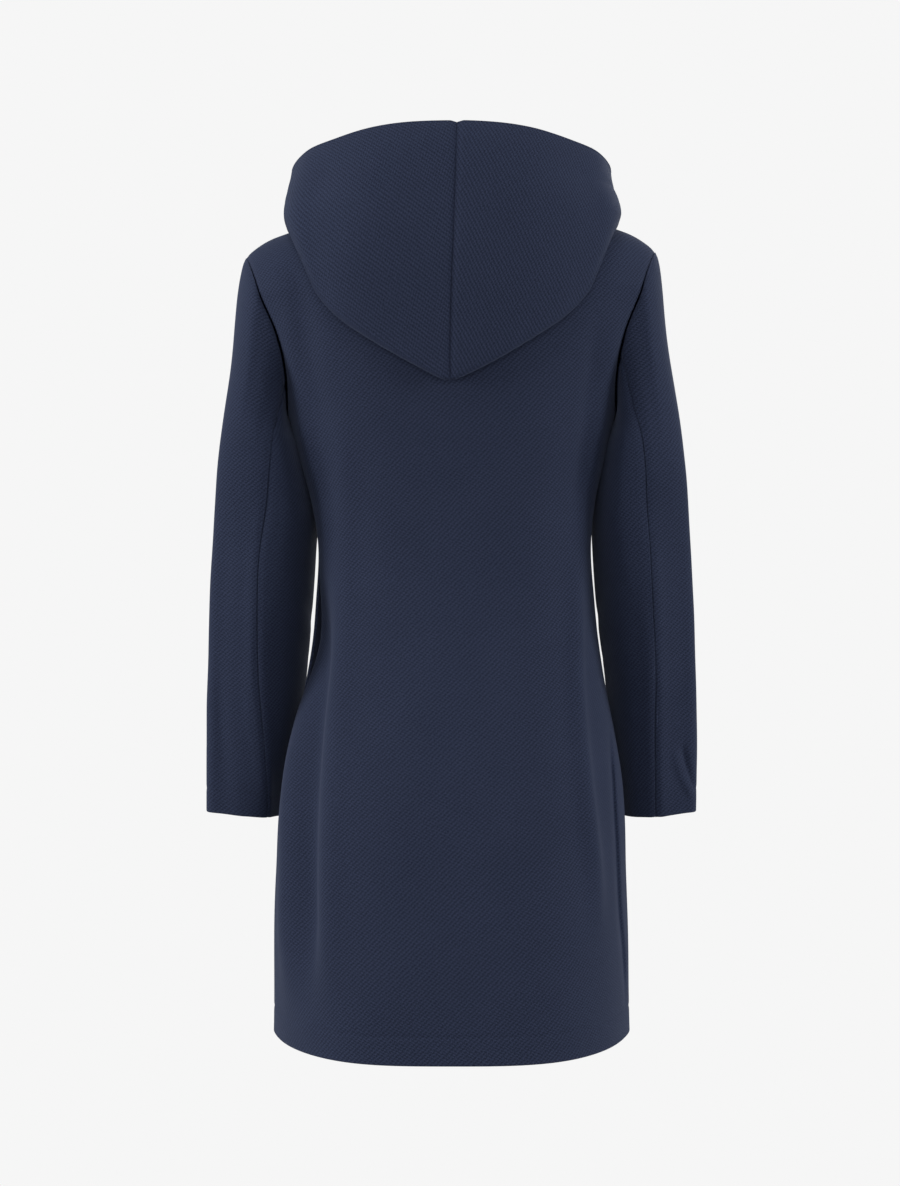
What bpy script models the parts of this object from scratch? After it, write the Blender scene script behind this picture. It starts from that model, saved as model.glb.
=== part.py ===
"""Hooded duffle coat, standing open as if worn, made of the pieces that are cut and sewn.

Metres, +Z up. The front faces -Y and the wearer's left is +X. The origin lies between
the two points where the shoulder seams meet the neckline, which is where it is worn.
Each panel is a loft of its outer face, given its wall inwards by Solidify.
"""

import math

import bpy
import numpy as np

# ---------------------------------------------------------------- driving sizes
CLOTH = 0.0025            # wall of the coating cloth
HOOD_CLOTH = 0.0030       # wall of the hood, which is cloth on cloth
SEAM = 0.0012             # clearance of the outer faces at a seam; the walls lean towards
HOOD_SEAM = 0.0009        # each other inwards, down to about 0.3 mm
ARM_SEAM_TOP = 0.0023     # round the armhole, over the shoulder
ARM_SEAM_LOW = 0.0010     # and under the arm
LONG_SEAM_LEFT = 0.0022   # the two seams down each sleeve
LONG_SEAM_RIGHT = 0.0031

HEM = -0.868              # heights, from the neck point down
ARMPIT = -0.225
YOKE = -0.100             # above this level the coat rounds over to the shoulder seam
SHOULDER_TIP = -0.0525

NECK_HALF = 0.075         # neckline: half width, and its reach to the back and front
NECK_BACK = 0.062
NECK_FRONT = 0.0955
SHOULDER_SLOPE = 0.33     # fall of the shoulder seam for each metre out
SHOULDER_BEND = 0.180     # past here it falls faster, towards the sleeve head
BEND_RATE = 8.0

SIDE_POWER = 3.3          # plan section: (x / half) ** 3.3 + (y / depth) ** 1.4 = 1
DEPTH_POWER = 1.4
BACK_ROUND = 2.2          # powers of the rounding over the shoulder
FRONT_ROUND = 1.8
SHOULDER_ROLL = 0.015     # rise of the right shoulder, for each metre across
ROLL_START = -0.300
WALL_UNIT = 0.100         # height of wall for one unit of the way over the shoulder

OVERLAP = 0.035           # each front runs this far past the middle
UNDERLAP_DROP = 0.0032    # the wearer's left front lies this much further in, beneath
UNDERLAP_EDGE = 0.037     # up to here, and is back at its own level at the second
UNDERLAP_END = 0.049

HOOD_LAY = 0.0046         # clearance of the hood where it lies on the coat
NECK_LAY = 0.0019         # and at the neckline
HOOD_ROLL = 0.0055        # outer radius of the hood's lower fold
RIM_ROLL = 0.020          # rise of the rim's left side, for each metre across

FASTENING_HEIGHTS = (-0.160, -0.290, -0.420)
CORD_RADIUS = 0.00175
TOUCH = 0.0004            # clearance between small pieces
CORD_REST = 0.0013        # clearance of cords and tabs above the rounded fronts
TAB_REST = 0.0014
TAB_START, TAB_WIDTH, TAB_HEIGHT, TAB_THICK = 0.056, 0.038, 0.034, 0.0022
TOGGLE_LENGTH = 0.050
TOGGLE_LIFT = 0.0145      # axis of the toggle above the cloth


def table(columns, rows):
    """Rows of numbers with named columns, ordered by the first one."""
    return np.array(rows, dtype=[(name, float) for name in columns.split()])


# The trunk, a row for each level: half width, reach back and front, sideways lean.
BODY = table("height half back front lean", [
    (-0.868, 0.1870, 0.172, 0.158, 0.0000),
    (-0.780, 0.1860, 0.163, 0.152, 0.0000),
    (-0.700, 0.1838, 0.153, 0.147, 0.0000),
    (-0.640, 0.1814, 0.144, 0.143, -0.0007),
    (-0.600, 0.1765, 0.136, 0.140, -0.0025),
    (-0.550, 0.1674, 0.124, 0.136, -0.0038),
    (-0.500, 0.1570, 0.112, 0.132, -0.0042),
    (-0.460, 0.1505, 0.103, 0.129, -0.0045),
    (-0.420, 0.1465, 0.096, 0.127, -0.0040),
    (-0.360, 0.1428, 0.092, 0.127, -0.0033),
    (-0.315, 0.1485, 0.094, 0.130, -0.0016),
    (-0.270, 0.1590, 0.099, 0.135, -0.0008),
    (-0.225, 0.1712, 0.105, 0.136, 0.0000),
    (-0.160, 0.2000, 0.111, 0.122, 0.0005),
    (-0.100, 0.2320, 0.110, 0.100, 0.0010),
])

# The armhole seam: half width of the trunk panels up their side edge.
ARMHOLE = table("height half", [
    (-0.2250, 0.1712),
    (-0.1850, 0.1705),
    (-0.1450, 0.1775),
    (-0.1050, 0.1940),
    (-0.0525, 0.2145),
])

# The sleeves, a row for each level: reach out and in from the middle of the coat
# (the right arm hangs a little further out), and the back and front of the tube.
SLEEVE = table("height outer inner_left inner_right back front", [
    (-0.645, 0.2596, 0.1795, 0.1805, -0.004, -0.106),
    (-0.600, 0.2594, 0.1715, 0.1760, 0.006, -0.100),
    (-0.550, 0.2583, 0.1625, 0.1690, 0.016, -0.093),
    (-0.500, 0.2562, 0.1562, 0.1618, 0.028, -0.086),
    (-0.440, 0.2530, 0.1486, 0.1562, 0.040, -0.080),
    (-0.375, 0.2491, 0.1446, 0.1519, 0.052, -0.076),
    (-0.315, 0.2447, 0.1430, 0.1495, 0.062, -0.075),
    (-0.260, 0.2395, 0.1620, 0.1630, 0.070, -0.074),
])
SLEEVE_SKEW = 0.028       # the inner side of the tube stands forward of its outer side
SLEEVE_TILT = 0.004       # and hangs lower

# The sleeve head, between the armhole and the first level of the tube: how far along
# the ring lies, and how far the crown of each sleeve swells out at the top.
SLEEVE_HEAD = table("share crown_left crown_right", [
    (0.12, 0.0025, 0.0020),
    (0.30, 0.0020, 0.0002),
    (0.62, -0.0005, -0.0012),
])

# Where the two long seams of a sleeve run, in degrees round the tube from its outer
# edge: over the back to 180 at its inner edge, and on to the front.
SLEEVE_SEAMS = table("height back_left back_right front", [
    (-0.645, 140.0, 101.0, 236.0),
    (-0.560, 110.0, 98.0, 236.0),
    (-0.500, 102.0, 91.0, 236.0),
    (-0.420, 95.0, 88.0, 236.0),
    (-0.300, 116.0, 98.0, 234.0),
    (-0.225, 132.0, 106.0, 228.0),
])

# The hood, lying back, a row for each direction round the neck in degrees from the
# middle of the back: its rim, the lower fold on the coat (across, and the way over the
# shoulder), and how the cloth swells below the rim and above the fold.
HOOD = table("angle rim_x rim_y rim_z fold_x fold_over swell_top drop_top swell_low rise_low", [
    (0, 0.000, 0.1250, 0.0585, 0.000, -0.950, 0.040, 0.055, 0.020, 0.080),
    (3, 0.008, 0.1248, 0.0585, 0.007, -0.943, 0.040, 0.055, 0.020, 0.080),
    (9, 0.024, 0.1240, 0.0582, 0.023, -0.870, 0.039, 0.055, 0.020, 0.078),
    (30, 0.076, 0.1130, 0.0545, 0.084, -0.480, 0.034, 0.050, 0.020, 0.065),
    (50, 0.118, 0.0900, 0.0480, 0.129, -0.100, 0.024, 0.045, 0.018, 0.050),
    (70, 0.148, 0.0600, 0.0415, 0.158, 0.450, 0.014, 0.035, 0.014, 0.034),
    (90, 0.165, 0.0100, 0.0320, 0.169, 1.000, 0.004, 0.022, 0.009, 0.020),
    (120, 0.147, -0.0580, 0.0040, 0.146, 1.560, 0.008, 0.016, 0.012, 0.016),
    (150, 0.089, -0.1040, -0.0340, 0.090, 1.780, 0.006, 0.012, 0.010, 0.012),
    (180, 0.000, -0.1250, -0.0500, 0.000, 1.900, 0.004, 0.008, 0.008, 0.008),
])

# Half of a turned horn toggle: share of its half length, and radius.
TOGGLE = table("share radius", [
    (0.00, 0.00425),
    (0.12, 0.00435),
    (0.22, 0.00580),
    (0.40, 0.00650),
    (0.65, 0.00590),
    (0.88, 0.00430),
    (0.97, 0.00260),
])

# ---------------------------------------------------------------- stations
# Shares of the half width, from the side seam inwards: close together at the side.
SIDE_SHARES = (1.0, 0.9985, 0.975, 0.900, 0.780, 0.640, 0.500)
NECK_SHARES = (0.349, 0.280, 0.150, 0.0)
FRONT_REACHES = (UNDERLAP_EDGE, 0.0, -OVERLAP)     # distances, past the neck point

# Rises: 0 at the hem, 1 at the armpit, 2 at the yoke level, 3 at the shoulder seam.
SKIRT_RISES = (0.0, 0.15, 0.29, 0.41, 0.51, 0.59, 0.67, 0.75, 0.83, 0.92)
ARM_RISES = (1.0, 1.05, 1.15, 1.45, 1.70, 2.0, 2.3, 2.6, 2.85, 3.0)
SEAM_RISE_LEFT = 1.15     # where the back seam of each sleeve meets its armhole
SEAM_RISE_RIGHT = 1.45
SEAM_RISE_FRONT = 1.15
SLEEVE_STEPS = 15         # rows of faces down a sleeve
ARM_TURN = 1.556          # matches the armhole's rises to the turn of the sleeve

HOOD_ANGLES = np.radians((0, 3, 12, 24, 37, 50, 63, 76, 88, 100, 112, 130, 150, 172))
HOOD_OUTER = 7            # steps from rim to fold, round the fold, and on to the neck
HOOD_FOLD = 4
HOOD_UNDER = 7

LEFT, RIGHT = 1, -1
BACK, FRONT = 1, -1


# ---------------------------------------------------------------- form
def through(rows, column, at, level_start=False):
    """Smooth curve through one column of a table: a cubic between each two rows, with
    slopes taken from the neighbouring rows, or level at the first."""
    keys, values = rows[rows.dtype.names[0]], rows[column]
    slopes = np.gradient(values, keys)
    if level_start:
        slopes[0] = 0.0
    at = np.clip(at, keys[0], keys[-1])
    i = np.clip(np.searchsorted(keys, at) - 1, 0, len(keys) - 2)
    width = keys[i + 1] - keys[i]
    t = (at - keys[i]) / width
    start = (2 * t**3 - 3 * t**2 + 1) * values[i] + (t**3 - 2 * t**2 + t) * slopes[i] * width
    end = (3 * t**2 - 2 * t**3) * values[i + 1] + (t**3 - t**2) * slopes[i + 1] * width
    return start + end


def ease(t):
    """Smooth step from 0 to 1."""
    t = np.clip(t, 0.0, 1.0)
    return t * t * (3 - 2 * t)


def shoulder(x):
    """Height of the shoulder seam at a distance from the middle."""
    x = np.abs(x)
    fall = SHOULDER_SLOPE * np.maximum(0, x - NECK_HALF)
    return -fall - BEND_RATE * np.maximum(0, x - SHOULDER_BEND) ** 2


def torso(x, over, out=0.0):
    """Point on the outside of the trunk. over is 0 at the yoke level of the back, 1 on
    the shoulder seam and 2 at the yoke level of the front; before 0 and after 2 it runs
    down the walls. out moves the point outwards."""
    x, over = np.broadcast_arrays(np.asarray(x, float), np.asarray(over, float))
    back = over <= 1
    rise = np.where(back, over, 2 - over)
    power = np.where(back, BACK_ROUND, FRONT_ROUND)
    level = YOKE + np.minimum(rise, 0) * WALL_UNIT
    turn = np.clip(rise, 0, 1) * np.pi / 2
    z_over = YOKE + (shoulder(x) + out - YOKE) * np.sin(turn) ** (2 / power)
    z = np.where(rise < 0, level, z_over)
    half = through(BODY, "half", level) + out
    depth = np.where(back, through(BODY, "back", level), through(BODY, "front", level)) + out
    inside = np.maximum(0, 1 - np.abs(x / half) ** SIDE_POWER)
    reach = depth * inside ** (1 / DEPTH_POWER) * np.abs(np.cos(turn)) ** (2 / power)
    y = np.where(back, reach, -reach)
    return np.stack([x, y, z], axis=-1)


def leaned(points):
    """Points with the coat's slight sideways lean, and its right shoulder the higher."""
    points = np.array(points, float)
    height = points[..., 2].copy()
    points[..., 2] -= SHOULDER_ROLL * points[..., 0] * ease((height - ROLL_START) / -ROLL_START)
    points[..., 0] += through(BODY, "lean", height)
    return points


def neck_rise(x, face):
    """How far over the shoulder a trunk panel goes: to 1, or to the neckline."""
    x = np.abs(x)
    round_neck = np.sqrt(np.maximum(0, 1 - (x / NECK_HALF) ** 2))
    reach, column, power = NECK_BACK, "back", BACK_ROUND
    if face == FRONT:
        reach, column, power = NECK_FRONT, "front", FRONT_ROUND
    inside = np.maximum(1e-9, 1 - np.abs(x / through(BODY, "half", YOKE)) ** SIDE_POWER)
    depth = through(BODY, column, YOKE) * inside ** (1 / DEPTH_POWER)
    share = np.clip(reach * round_neck / depth, 0, 1)
    return np.arccos(share ** (power / 2)) / (np.pi / 2)


def side_edge(rise, face):
    """Half width of a trunk panel at a rise: the side seam, then the armhole."""
    power = BACK_ROUND if face == BACK else FRONT_ROUND
    turn = np.clip(rise - 2, 0, 1) * np.pi / 2
    wall = HEM + (ARMPIT - HEM) * np.clip(rise, 0, 1) + (YOKE - ARMPIT) * np.clip(rise - 1, 0, 1)
    height = np.where(rise > 2, YOKE + (SHOULDER_TIP - YOKE) * np.sin(turn) ** (2 / power), wall)
    return np.where(rise < 1, through(BODY, "half", height), through(ARMHOLE, "half", height))


def panel_point(x, rise, face, out=0.0):
    """Point of a trunk panel at x and a rise, clear of the panel over the seam."""
    wall = HEM + (ARMPIT - HEM) * np.clip(rise, 0, 1) + (YOKE - ARMPIT) * np.clip(rise - 1, 0, 1)
    way = np.where(rise > 2, (rise - 2) * neck_rise(x, face), (wall - YOKE) / WALL_UNIT)
    point = torso(x, way if face == BACK else 2 - way, out)
    point[..., 1] += face * SEAM / 2
    return point


def armhole(side, face, rise):
    """The edge of a trunk panel beside the sleeve."""
    return leaned(panel_point(side * side_edge(rise, face), rise, face))


# ---------------------------------------------------------------- objects
def material(name, rgb, roughness):
    """A Principled material in linear colour."""
    made = bpy.data.materials.new(name)
    made.use_nodes = True
    shader = made.node_tree.nodes["Principled BSDF"]
    shader.inputs["Base Color"].default_value = (*rgb, 1.0)
    shader.inputs["Roughness"].default_value = roughness
    shader.inputs["Metallic"].default_value = 0.0
    return made


def place(name, data, finish, location=(0, 0, 0), rotation=(0, 0, 0)):
    """An object of the coat, in its collection, with its material."""
    made = bpy.data.objects.new(name, data)
    made.location = location
    made.rotation_euler = rotation
    data.materials.append(finish)
    parts.objects.link(made)
    return made


def wall(name, grid, thickness, finish, flip=False):
    """A sheet whose outer face is a grid of points, with its wall inwards."""
    across, along = grid.shape[:2]
    number = np.arange(across * along).reshape(across, along)
    corners = [number[:-1, :-1], number[1:, :-1], number[1:, 1:], number[:-1, 1:]]
    faces = np.stack([c.ravel() for c in (corners if flip else corners[::-1])], axis=-1)
    mesh = bpy.data.meshes.new(name)
    mesh.from_pydata(grid.reshape(-1, 3).tolist(), [], faces.tolist())
    made = place(name, mesh, finish)
    mesh.shade_smooth()
    shell = made.modifiers.new("wall", "SOLIDIFY")
    shell.thickness = thickness
    shell.offset = -1.0
    return made


def cord(name, points, finish):
    """A round cord along points chosen by a rule."""
    curve = bpy.data.curves.new(name, "CURVE")
    curve.dimensions = "3D"
    curve.bevel_depth = CORD_RADIUS
    curve.bevel_resolution = 2
    curve.use_fill_caps = True
    line = curve.splines.new("POLY")
    line.points.add(len(points) - 1)
    for target, point in zip(line.points, points):
        target.co = (*point, 1.0)
    return place(name, curve, finish)


# ---------------------------------------------------------------- the trunk
def build_back(finish):
    """The back, cut in one piece from side seam to side seam."""
    half = np.array(SIDE_SHARES + NECK_SHARES)
    shares = np.concatenate([half, -half[-2::-1]])[:, None]
    rises = np.array(SKIRT_RISES + ARM_RISES)[None, :]
    grid = panel_point(shares * side_edge(rises, BACK), rises, BACK)
    wall("back", leaned(grid), CLOTH, finish, flip=True)


def underlap(x):
    """How far in the wearer's left front lies beneath the other one."""
    return -UNDERLAP_DROP * ease((UNDERLAP_END - x) / (UNDERLAP_END - UNDERLAP_EDGE))


def build_front(side, name, finish):
    """A front, from its side seam past the middle by the overlap."""
    shares = np.array(SIDE_SHARES + NECK_SHARES[:2])[:, None]
    rises = np.array(SKIRT_RISES + ARM_RISES)[None, :]
    outer = shares * side_edge(rises, FRONT)
    inner = np.array(FRONT_REACHES)[:, None] + 0 * rises
    x = np.concatenate([outer, inner])
    inwards = underlap(x) if side == LEFT else 0.0
    grid = panel_point(side * x, rises, FRONT, inwards)
    wall(name, leaned(grid), CLOTH, finish, flip=side == RIGHT)


# ---------------------------------------------------------------- the sleeves
def sleeve_rings(side, turns, rises, faces):
    """Rings of one sleeve from its armhole to its cuff, at turns round the tube."""
    edge = np.stack([armhole(side, face, np.float64(r)) for r, face in zip(rises, faces)])
    height = np.clip(rises - 1, 0, 1)
    edge[:, 0] += side * (ARM_SEAM_LOW + (ARM_SEAM_TOP - ARM_SEAM_LOW) * height)
    own = "left" if side == LEFT else "right"
    tube = []
    for row in SLEEVE[::-1]:
        inner = row["inner_" + own]
        seams = [through(SLEEVE_SEAMS, c, row["height"]) for c in ("back_" + own, "front")]
        warped = np.interp(turns, (0, seam_turn(side), front_turn(), 360), (0, *seams, 360))
        angle = np.radians(warped)
        x = (row["outer"] + inner + (row["outer"] - inner) * np.cos(angle)) / 2
        y = (row["back"] + row["front"] + (row["back"] - row["front"]) * np.sin(angle)) / 2
        y = y + SLEEVE_SKEW * np.cos(angle)
        z = row["height"] + SLEEVE_TILT * np.cos(angle)
        tube.append(np.stack([side * x, y, z], axis=-1))
    top = (1 + np.cos(np.radians(turns))) / 2
    head = []
    for row in SLEEVE_HEAD:
        ring = edge * (1 - row["share"]) + tube[0] * row["share"]
        ring[:, 0] += side * row["crown_" + own] * top**2
        head.append(ring)
    return np.array([edge, *head, *tube])


def rise_turn(rise):
    """Turn round the sleeve, in degrees, that meets the armhole at a rise."""
    return np.degrees(np.arccos(2 * ((rise - 1) / 2) ** (1 / ARM_TURN) - 1))


def seam_turn(side):
    return rise_turn(SEAM_RISE_LEFT if side == LEFT else SEAM_RISE_RIGHT)


def front_turn():
    return 360 - rise_turn(SEAM_RISE_FRONT)


def build_sleeve(side, suffix, finish):
    """A two-piece sleeve: the top sleeve and the narrower under sleeve."""
    rises = np.array(ARM_RISES[::-1] + ARM_RISES[1:])
    faces = np.array([BACK] * len(ARM_RISES) + [FRONT] * (len(ARM_RISES) - 1))
    turns = np.where(faces == BACK, rise_turn(rises), 360 - rise_turn(rises))
    rings = sleeve_rings(side, turns, rises, faces)
    steps = np.linspace(0, len(rings) - 1, SLEEVE_STEPS + 1)
    loft = smooth_rings(rings, steps)
    back = int(np.argmin(np.abs(turns - seam_turn(side))))
    front = int(np.argmin(np.abs(turns - front_turn())))
    top = np.concatenate([loft[:, front:-1], loft[:, :back + 1]], axis=1)
    under = loft[:, back:front + 1]
    for name, piece in (("sleeve_top_", top), ("sleeve_under_", under)):
        wall(name + suffix, ease_edges(piece, side), CLOTH, finish, flip=side == LEFT)


def smooth_rings(rings, steps):
    """Rings between the given ones, on cubics through them."""
    slopes = np.gradient(rings, axis=0)
    i = np.clip(steps.astype(int), 0, len(rings) - 2)
    t = (steps - i)[:, None, None]
    start = (2 * t**3 - 3 * t**2 + 1) * rings[i] + (t**3 - 2 * t**2 + t) * slopes[i]
    end = (3 * t**2 - 2 * t**3) * rings[i + 1] + (t**3 - t**2) * slopes[i + 1]
    return start + end


def ease_edges(piece, side):
    """Draw the two long edges of a sleeve piece in by half a seam's clearance."""
    clearance = LONG_SEAM_LEFT if side == LEFT else LONG_SEAM_RIGHT
    eased = piece.copy()
    for edge, beside in ((0, 1), (-1, -2)):
        inwards = piece[:, beside] - piece[:, edge]
        length = np.linalg.norm(inwards, axis=-1, keepdims=True)
        eased[:, edge] += inwards / length * clearance / 2
    return eased


# ---------------------------------------------------------------- the hood
def hood_profiles(angles, side):
    """Each direction's line down the hood: from the rim over the outside to the fold,
    round the fold, and up the under layer, which lies on the coat, to the neckline."""
    degrees = np.degrees(angles)

    def column(name):
        return through(HOOD, name, degrees, level_start=not name.endswith("_x"))

    rim_z = column("rim_z") + side * RIM_ROLL * column("rim_x")
    rim = np.stack([column("rim_x"), column("rim_y"), rim_z], axis=-1)
    fold_x, fold_over = column("fold_x"), column("fold_over")
    near = torso(fold_x, fold_over, HOOD_LAY)
    far = torso(fold_x, fold_over, HOOD_LAY + 2 * HOOD_ROLL)
    neck_x = NECK_HALF * np.sin(angles)
    back = angles <= np.pi / 2
    neck_over = np.where(back, neck_rise(neck_x, BACK), 2 - neck_rise(neck_x, FRONT))
    share = np.linspace(0, 1, HOOD_UNDER + 1)[1:]
    x = fold_x[:, None] + (neck_x - fold_x)[:, None] * share
    over = fold_over[:, None] + (neck_over - fold_over)[:, None] * share
    under = torso(x, over, HOOD_LAY + (NECK_LAY - HOOD_LAY) * share**4)

    outwards = np.stack([np.sin(angles), np.cos(angles), np.zeros_like(angles)], axis=-1)
    up = np.array([0, 0, 1.0])
    top_handle = rim + outwards * column("swell_top")[:, None] - up * column("drop_top")[:, None]
    low_handle = far + outwards * column("swell_low")[:, None] + up * column("rise_low")[:, None]
    t = np.linspace(0, 1, HOOD_OUTER + 1)[None, :, None]
    outer = (1 - t)**3 * rim[:, None] + 3 * (1 - t)**2 * t * top_handle[:, None]
    outer = outer + 3 * (1 - t) * t**2 * low_handle[:, None] + t**3 * far[:, None]

    middle = (near + far) / 2
    radius = np.linalg.norm(far - near, axis=-1)[:, None] / 2
    out = (far - near) / (2 * radius)
    away = near - under[:, 0]
    away = away - (away * out).sum(-1, keepdims=True) * out
    away = away / np.linalg.norm(away, axis=-1, keepdims=True)
    turn = np.linspace(0, np.pi, HOOD_FOLD + 1)[1:][None, :, None]
    swing = out[:, None] * np.cos(turn) + away[:, None] * np.sin(turn)
    fold = middle[:, None] + radius[:, None] * swing
    return np.concatenate([outer, fold, under], axis=1)


def build_hood(side, name, finish):
    """Half of the hood, from the seam down its middle round to the front."""
    grid = hood_profiles(HOOD_ANGLES, side)
    grid[..., 0] = side * (grid[..., 0] + HOOD_SEAM / 2)
    wall(name, leaned(grid), HOOD_CLOTH, finish, flip=side == LEFT)


# ---------------------------------------------------------------- the fastenings
def on_front(x, z, out, inwards=0.0):
    """Point on the fronts at a height below the yoke, moved out by a distance."""
    return leaned(torso(x, 2 + (YOKE - z) / WALL_UNIT, out + inwards))


def build_tab(side, name, height, finish):
    """A leather tab, a soft-cornered square sewn flat on its front."""
    across, up = np.meshgrid(np.linspace(-1, 1, 5), np.linspace(-1, 1, 5), indexing="ij")
    corner = 0.16
    x = TAB_START + TAB_WIDTH / 2 * (1 + across * np.sqrt(1 - corner * up**2))
    z = height + TAB_HEIGHT / 2 * up * np.sqrt(1 - corner * across**2)
    inwards = underlap(x) if side == LEFT else 0.0
    grid = on_front(side * x, z, TAB_REST + TAB_THICK, inwards)
    wall(name, grid, TAB_THICK, finish, flip=side == LEFT)


def loop_route(height):
    """The catch loop: out from its tab, over the other cord and back."""
    half_gap, middle = 0.0115, 0.0070
    climb_start, climb_length = -0.006, 0.014
    turn = np.linspace(np.pi / 2, -np.pi / 2, 9)
    straight = np.linspace(-TAB_START + TOUCH, middle, 5)[:-1]
    x = np.concatenate([straight, middle + half_gap * np.cos(turn), straight[::-1]])
    z = np.concatenate([0 * straight + half_gap, half_gap * np.sin(turn), 0 * straight - half_gap])
    low, high = CORD_RADIUS + CORD_REST, 3 * CORD_RADIUS + CORD_REST + TOUCH
    climb = ease((x - climb_start) / climb_length)
    return on_front(x, height + z, low + (high - low) * climb)


def toggle_route(height):
    """The toggle's own cord: out from its tab, round the toggle's waist and back."""
    waist = TOGGLE["radius"][0] + CORD_RADIUS + 4 * TOUCH
    low, start = CORD_RADIUS + CORD_REST, 0.012
    bend = np.linspace(0, np.pi / 2, 4)
    straight = np.linspace(TAB_START - TOUCH, start, 3)[:-1]
    climb_x, climb = start * (1 - np.sin(bend)), low + (TOGGLE_LIFT - low) * (1 - np.cos(bend))
    round_waist = np.linspace(0, np.pi, 7)[1:-1]
    x = np.concatenate([straight, climb_x, 0 * round_waist, climb_x[::-1], straight[::-1]])
    z = np.concatenate([0 * straight + waist, 0 * climb + waist, waist * np.cos(round_waist),
                        0 * climb - waist, 0 * straight - waist])
    out = np.concatenate([0 * straight + low, climb, TOGGLE_LIFT + waist * np.sin(round_waist),
                          climb[::-1], 0 * straight + low])
    return on_front(x, height + z, out)


def build_toggle(name, height, finish):
    """A turned horn toggle, lying across the opening."""
    half = TOGGLE_LENGTH / 2
    down = [(0.0, half)] + [(r["radius"], r["share"] * half) for r in TOGGLE[::-1]]
    line = down + [(radius, -z) for radius, z in down[-2::-1]]
    mesh = bpy.data.meshes.new(name)
    edges = [(i, i + 1) for i in range(len(line) - 1)]
    mesh.from_pydata([(radius, 0.0, z) for radius, z in line], edges, [])
    centre = on_front(np.float64(0.0), np.float64(height), TOGGLE_LIFT)
    made = place(name, mesh, finish, centre, (0, math.pi / 2, 0))
    lathe = made.modifiers.new("turned", "SCREW")
    lathe.axis = "Z"
    lathe.steps = lathe.render_steps = 12
    lathe.use_merge_vertices = True
    lathe.merge_threshold = 0.00005
    lathe.use_smooth_shade = True


def build_fastening(number, height):
    build_tab(LEFT, f"toggle_tab_{number}", height, leather)
    build_tab(RIGHT, f"loop_tab_{number}", height, leather)
    cord(f"toggle_cord_{number}", toggle_route(height), cotton)
    cord(f"loop_cord_{number}", loop_route(height), cotton)
    build_toggle(f"toggle_{number}", height, horn)


# ---------------------------------------------------------------- build
for old in list(bpy.data.objects):
    bpy.data.objects.remove(old, do_unlink=True)

parts = bpy.data.collections.new("duffle_coat")
bpy.context.scene.collection.children.link(parts)

twill = material("navy_wool_twill", (0.0232, 0.0284, 0.0513), 0.85)
leather = material("navy_leather", (0.0100, 0.0120, 0.0200), 0.50)
cotton = material("navy_cord", (0.0140, 0.0170, 0.0300), 0.80)
horn = material("dark_horn", (0.0300, 0.0170, 0.0100), 0.35)

build_back(twill)
build_front(LEFT, "front_left", twill)
build_front(RIGHT, "front_right", twill)
build_sleeve(LEFT, "left", twill)
build_sleeve(RIGHT, "right", twill)
build_hood(LEFT, "hood_left", twill)
build_hood(RIGHT, "hood_right", twill)
for index, level in enumerate(FASTENING_HEIGHTS, start=1):
    build_fastening(index, level)
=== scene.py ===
# %% [markdown]
# # A hooded duffle coat
#
# The coat stands filled out, as if someone wore it, with its hood lying back on the
# shoulders. A solid model of it exists already: thin closed walls, one for each piece
# that a tailor cuts. This lesson gives every wall its cloth. The solid model is loaded
# first and never changed, so that all later pieces can be laid exactly on it.

# %% Load the solid coat
import math

import bpy
import numpy as np
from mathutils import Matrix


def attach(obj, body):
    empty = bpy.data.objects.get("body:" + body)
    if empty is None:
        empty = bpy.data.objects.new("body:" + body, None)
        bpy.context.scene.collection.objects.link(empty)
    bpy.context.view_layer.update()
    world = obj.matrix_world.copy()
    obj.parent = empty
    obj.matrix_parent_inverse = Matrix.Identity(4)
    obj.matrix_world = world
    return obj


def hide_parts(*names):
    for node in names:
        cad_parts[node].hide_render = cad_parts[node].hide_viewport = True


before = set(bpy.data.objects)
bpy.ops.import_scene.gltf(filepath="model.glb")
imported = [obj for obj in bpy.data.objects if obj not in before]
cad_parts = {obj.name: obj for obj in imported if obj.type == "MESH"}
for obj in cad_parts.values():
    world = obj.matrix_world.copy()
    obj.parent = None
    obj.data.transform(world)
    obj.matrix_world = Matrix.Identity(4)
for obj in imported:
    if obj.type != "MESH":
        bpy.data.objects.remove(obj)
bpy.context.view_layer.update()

# %% [markdown]
# ## The camera
#
# The coat is looked at from straight behind, level with its middle, from far enough
# away that nothing looks stretched. A camera object could also be turned towards an
# empty with a constraint, but a fixed place and turn are easier to read.

# %% Camera
CAMERA_DISTANCE = 2.2
CAMERA_PLACE = (0.0016, CAMERA_DISTANCE, -0.4095)
FRAME_HEIGHT = 1.2453            # what the picture spans at the coat, in metres

optics = bpy.data.cameras.new("studio_camera")
optics.lens = optics.sensor_width * CAMERA_DISTANCE / FRAME_HEIGHT
camera = bpy.data.objects.new("studio_camera", optics)
camera.location = CAMERA_PLACE
camera.rotation_euler = (math.pi / 2, 0, math.pi)
bpy.context.scene.collection.objects.link(camera)
bpy.context.scene.camera = camera
print("lens", round(optics.lens, 1), "mm")

# %% [markdown]
# ## Colours and nodes
#
# Colours are written as the hex values that a paint program shows. Blender reckons in
# linear light, so one function turns them. One more small function adds a node, with
# its settings and links, which keeps each material down to a few readable lines.


# %% Colour and node helpers
def linear(code):
    """Hex value to linear light: each channel c becomes c / 12.92 up to 0.04045, and
    ((c + 0.055) / 1.055) to the power 2.4 above it."""
    channel = np.array([int(code[i:i + 2], 16) for i in (0, 2, 4)]) / 255
    light = np.where(channel <= 0.04045, channel / 12.92, ((channel + 0.055) / 1.055) ** 2.4)
    return (*light.tolist(), 1.0)


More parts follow.
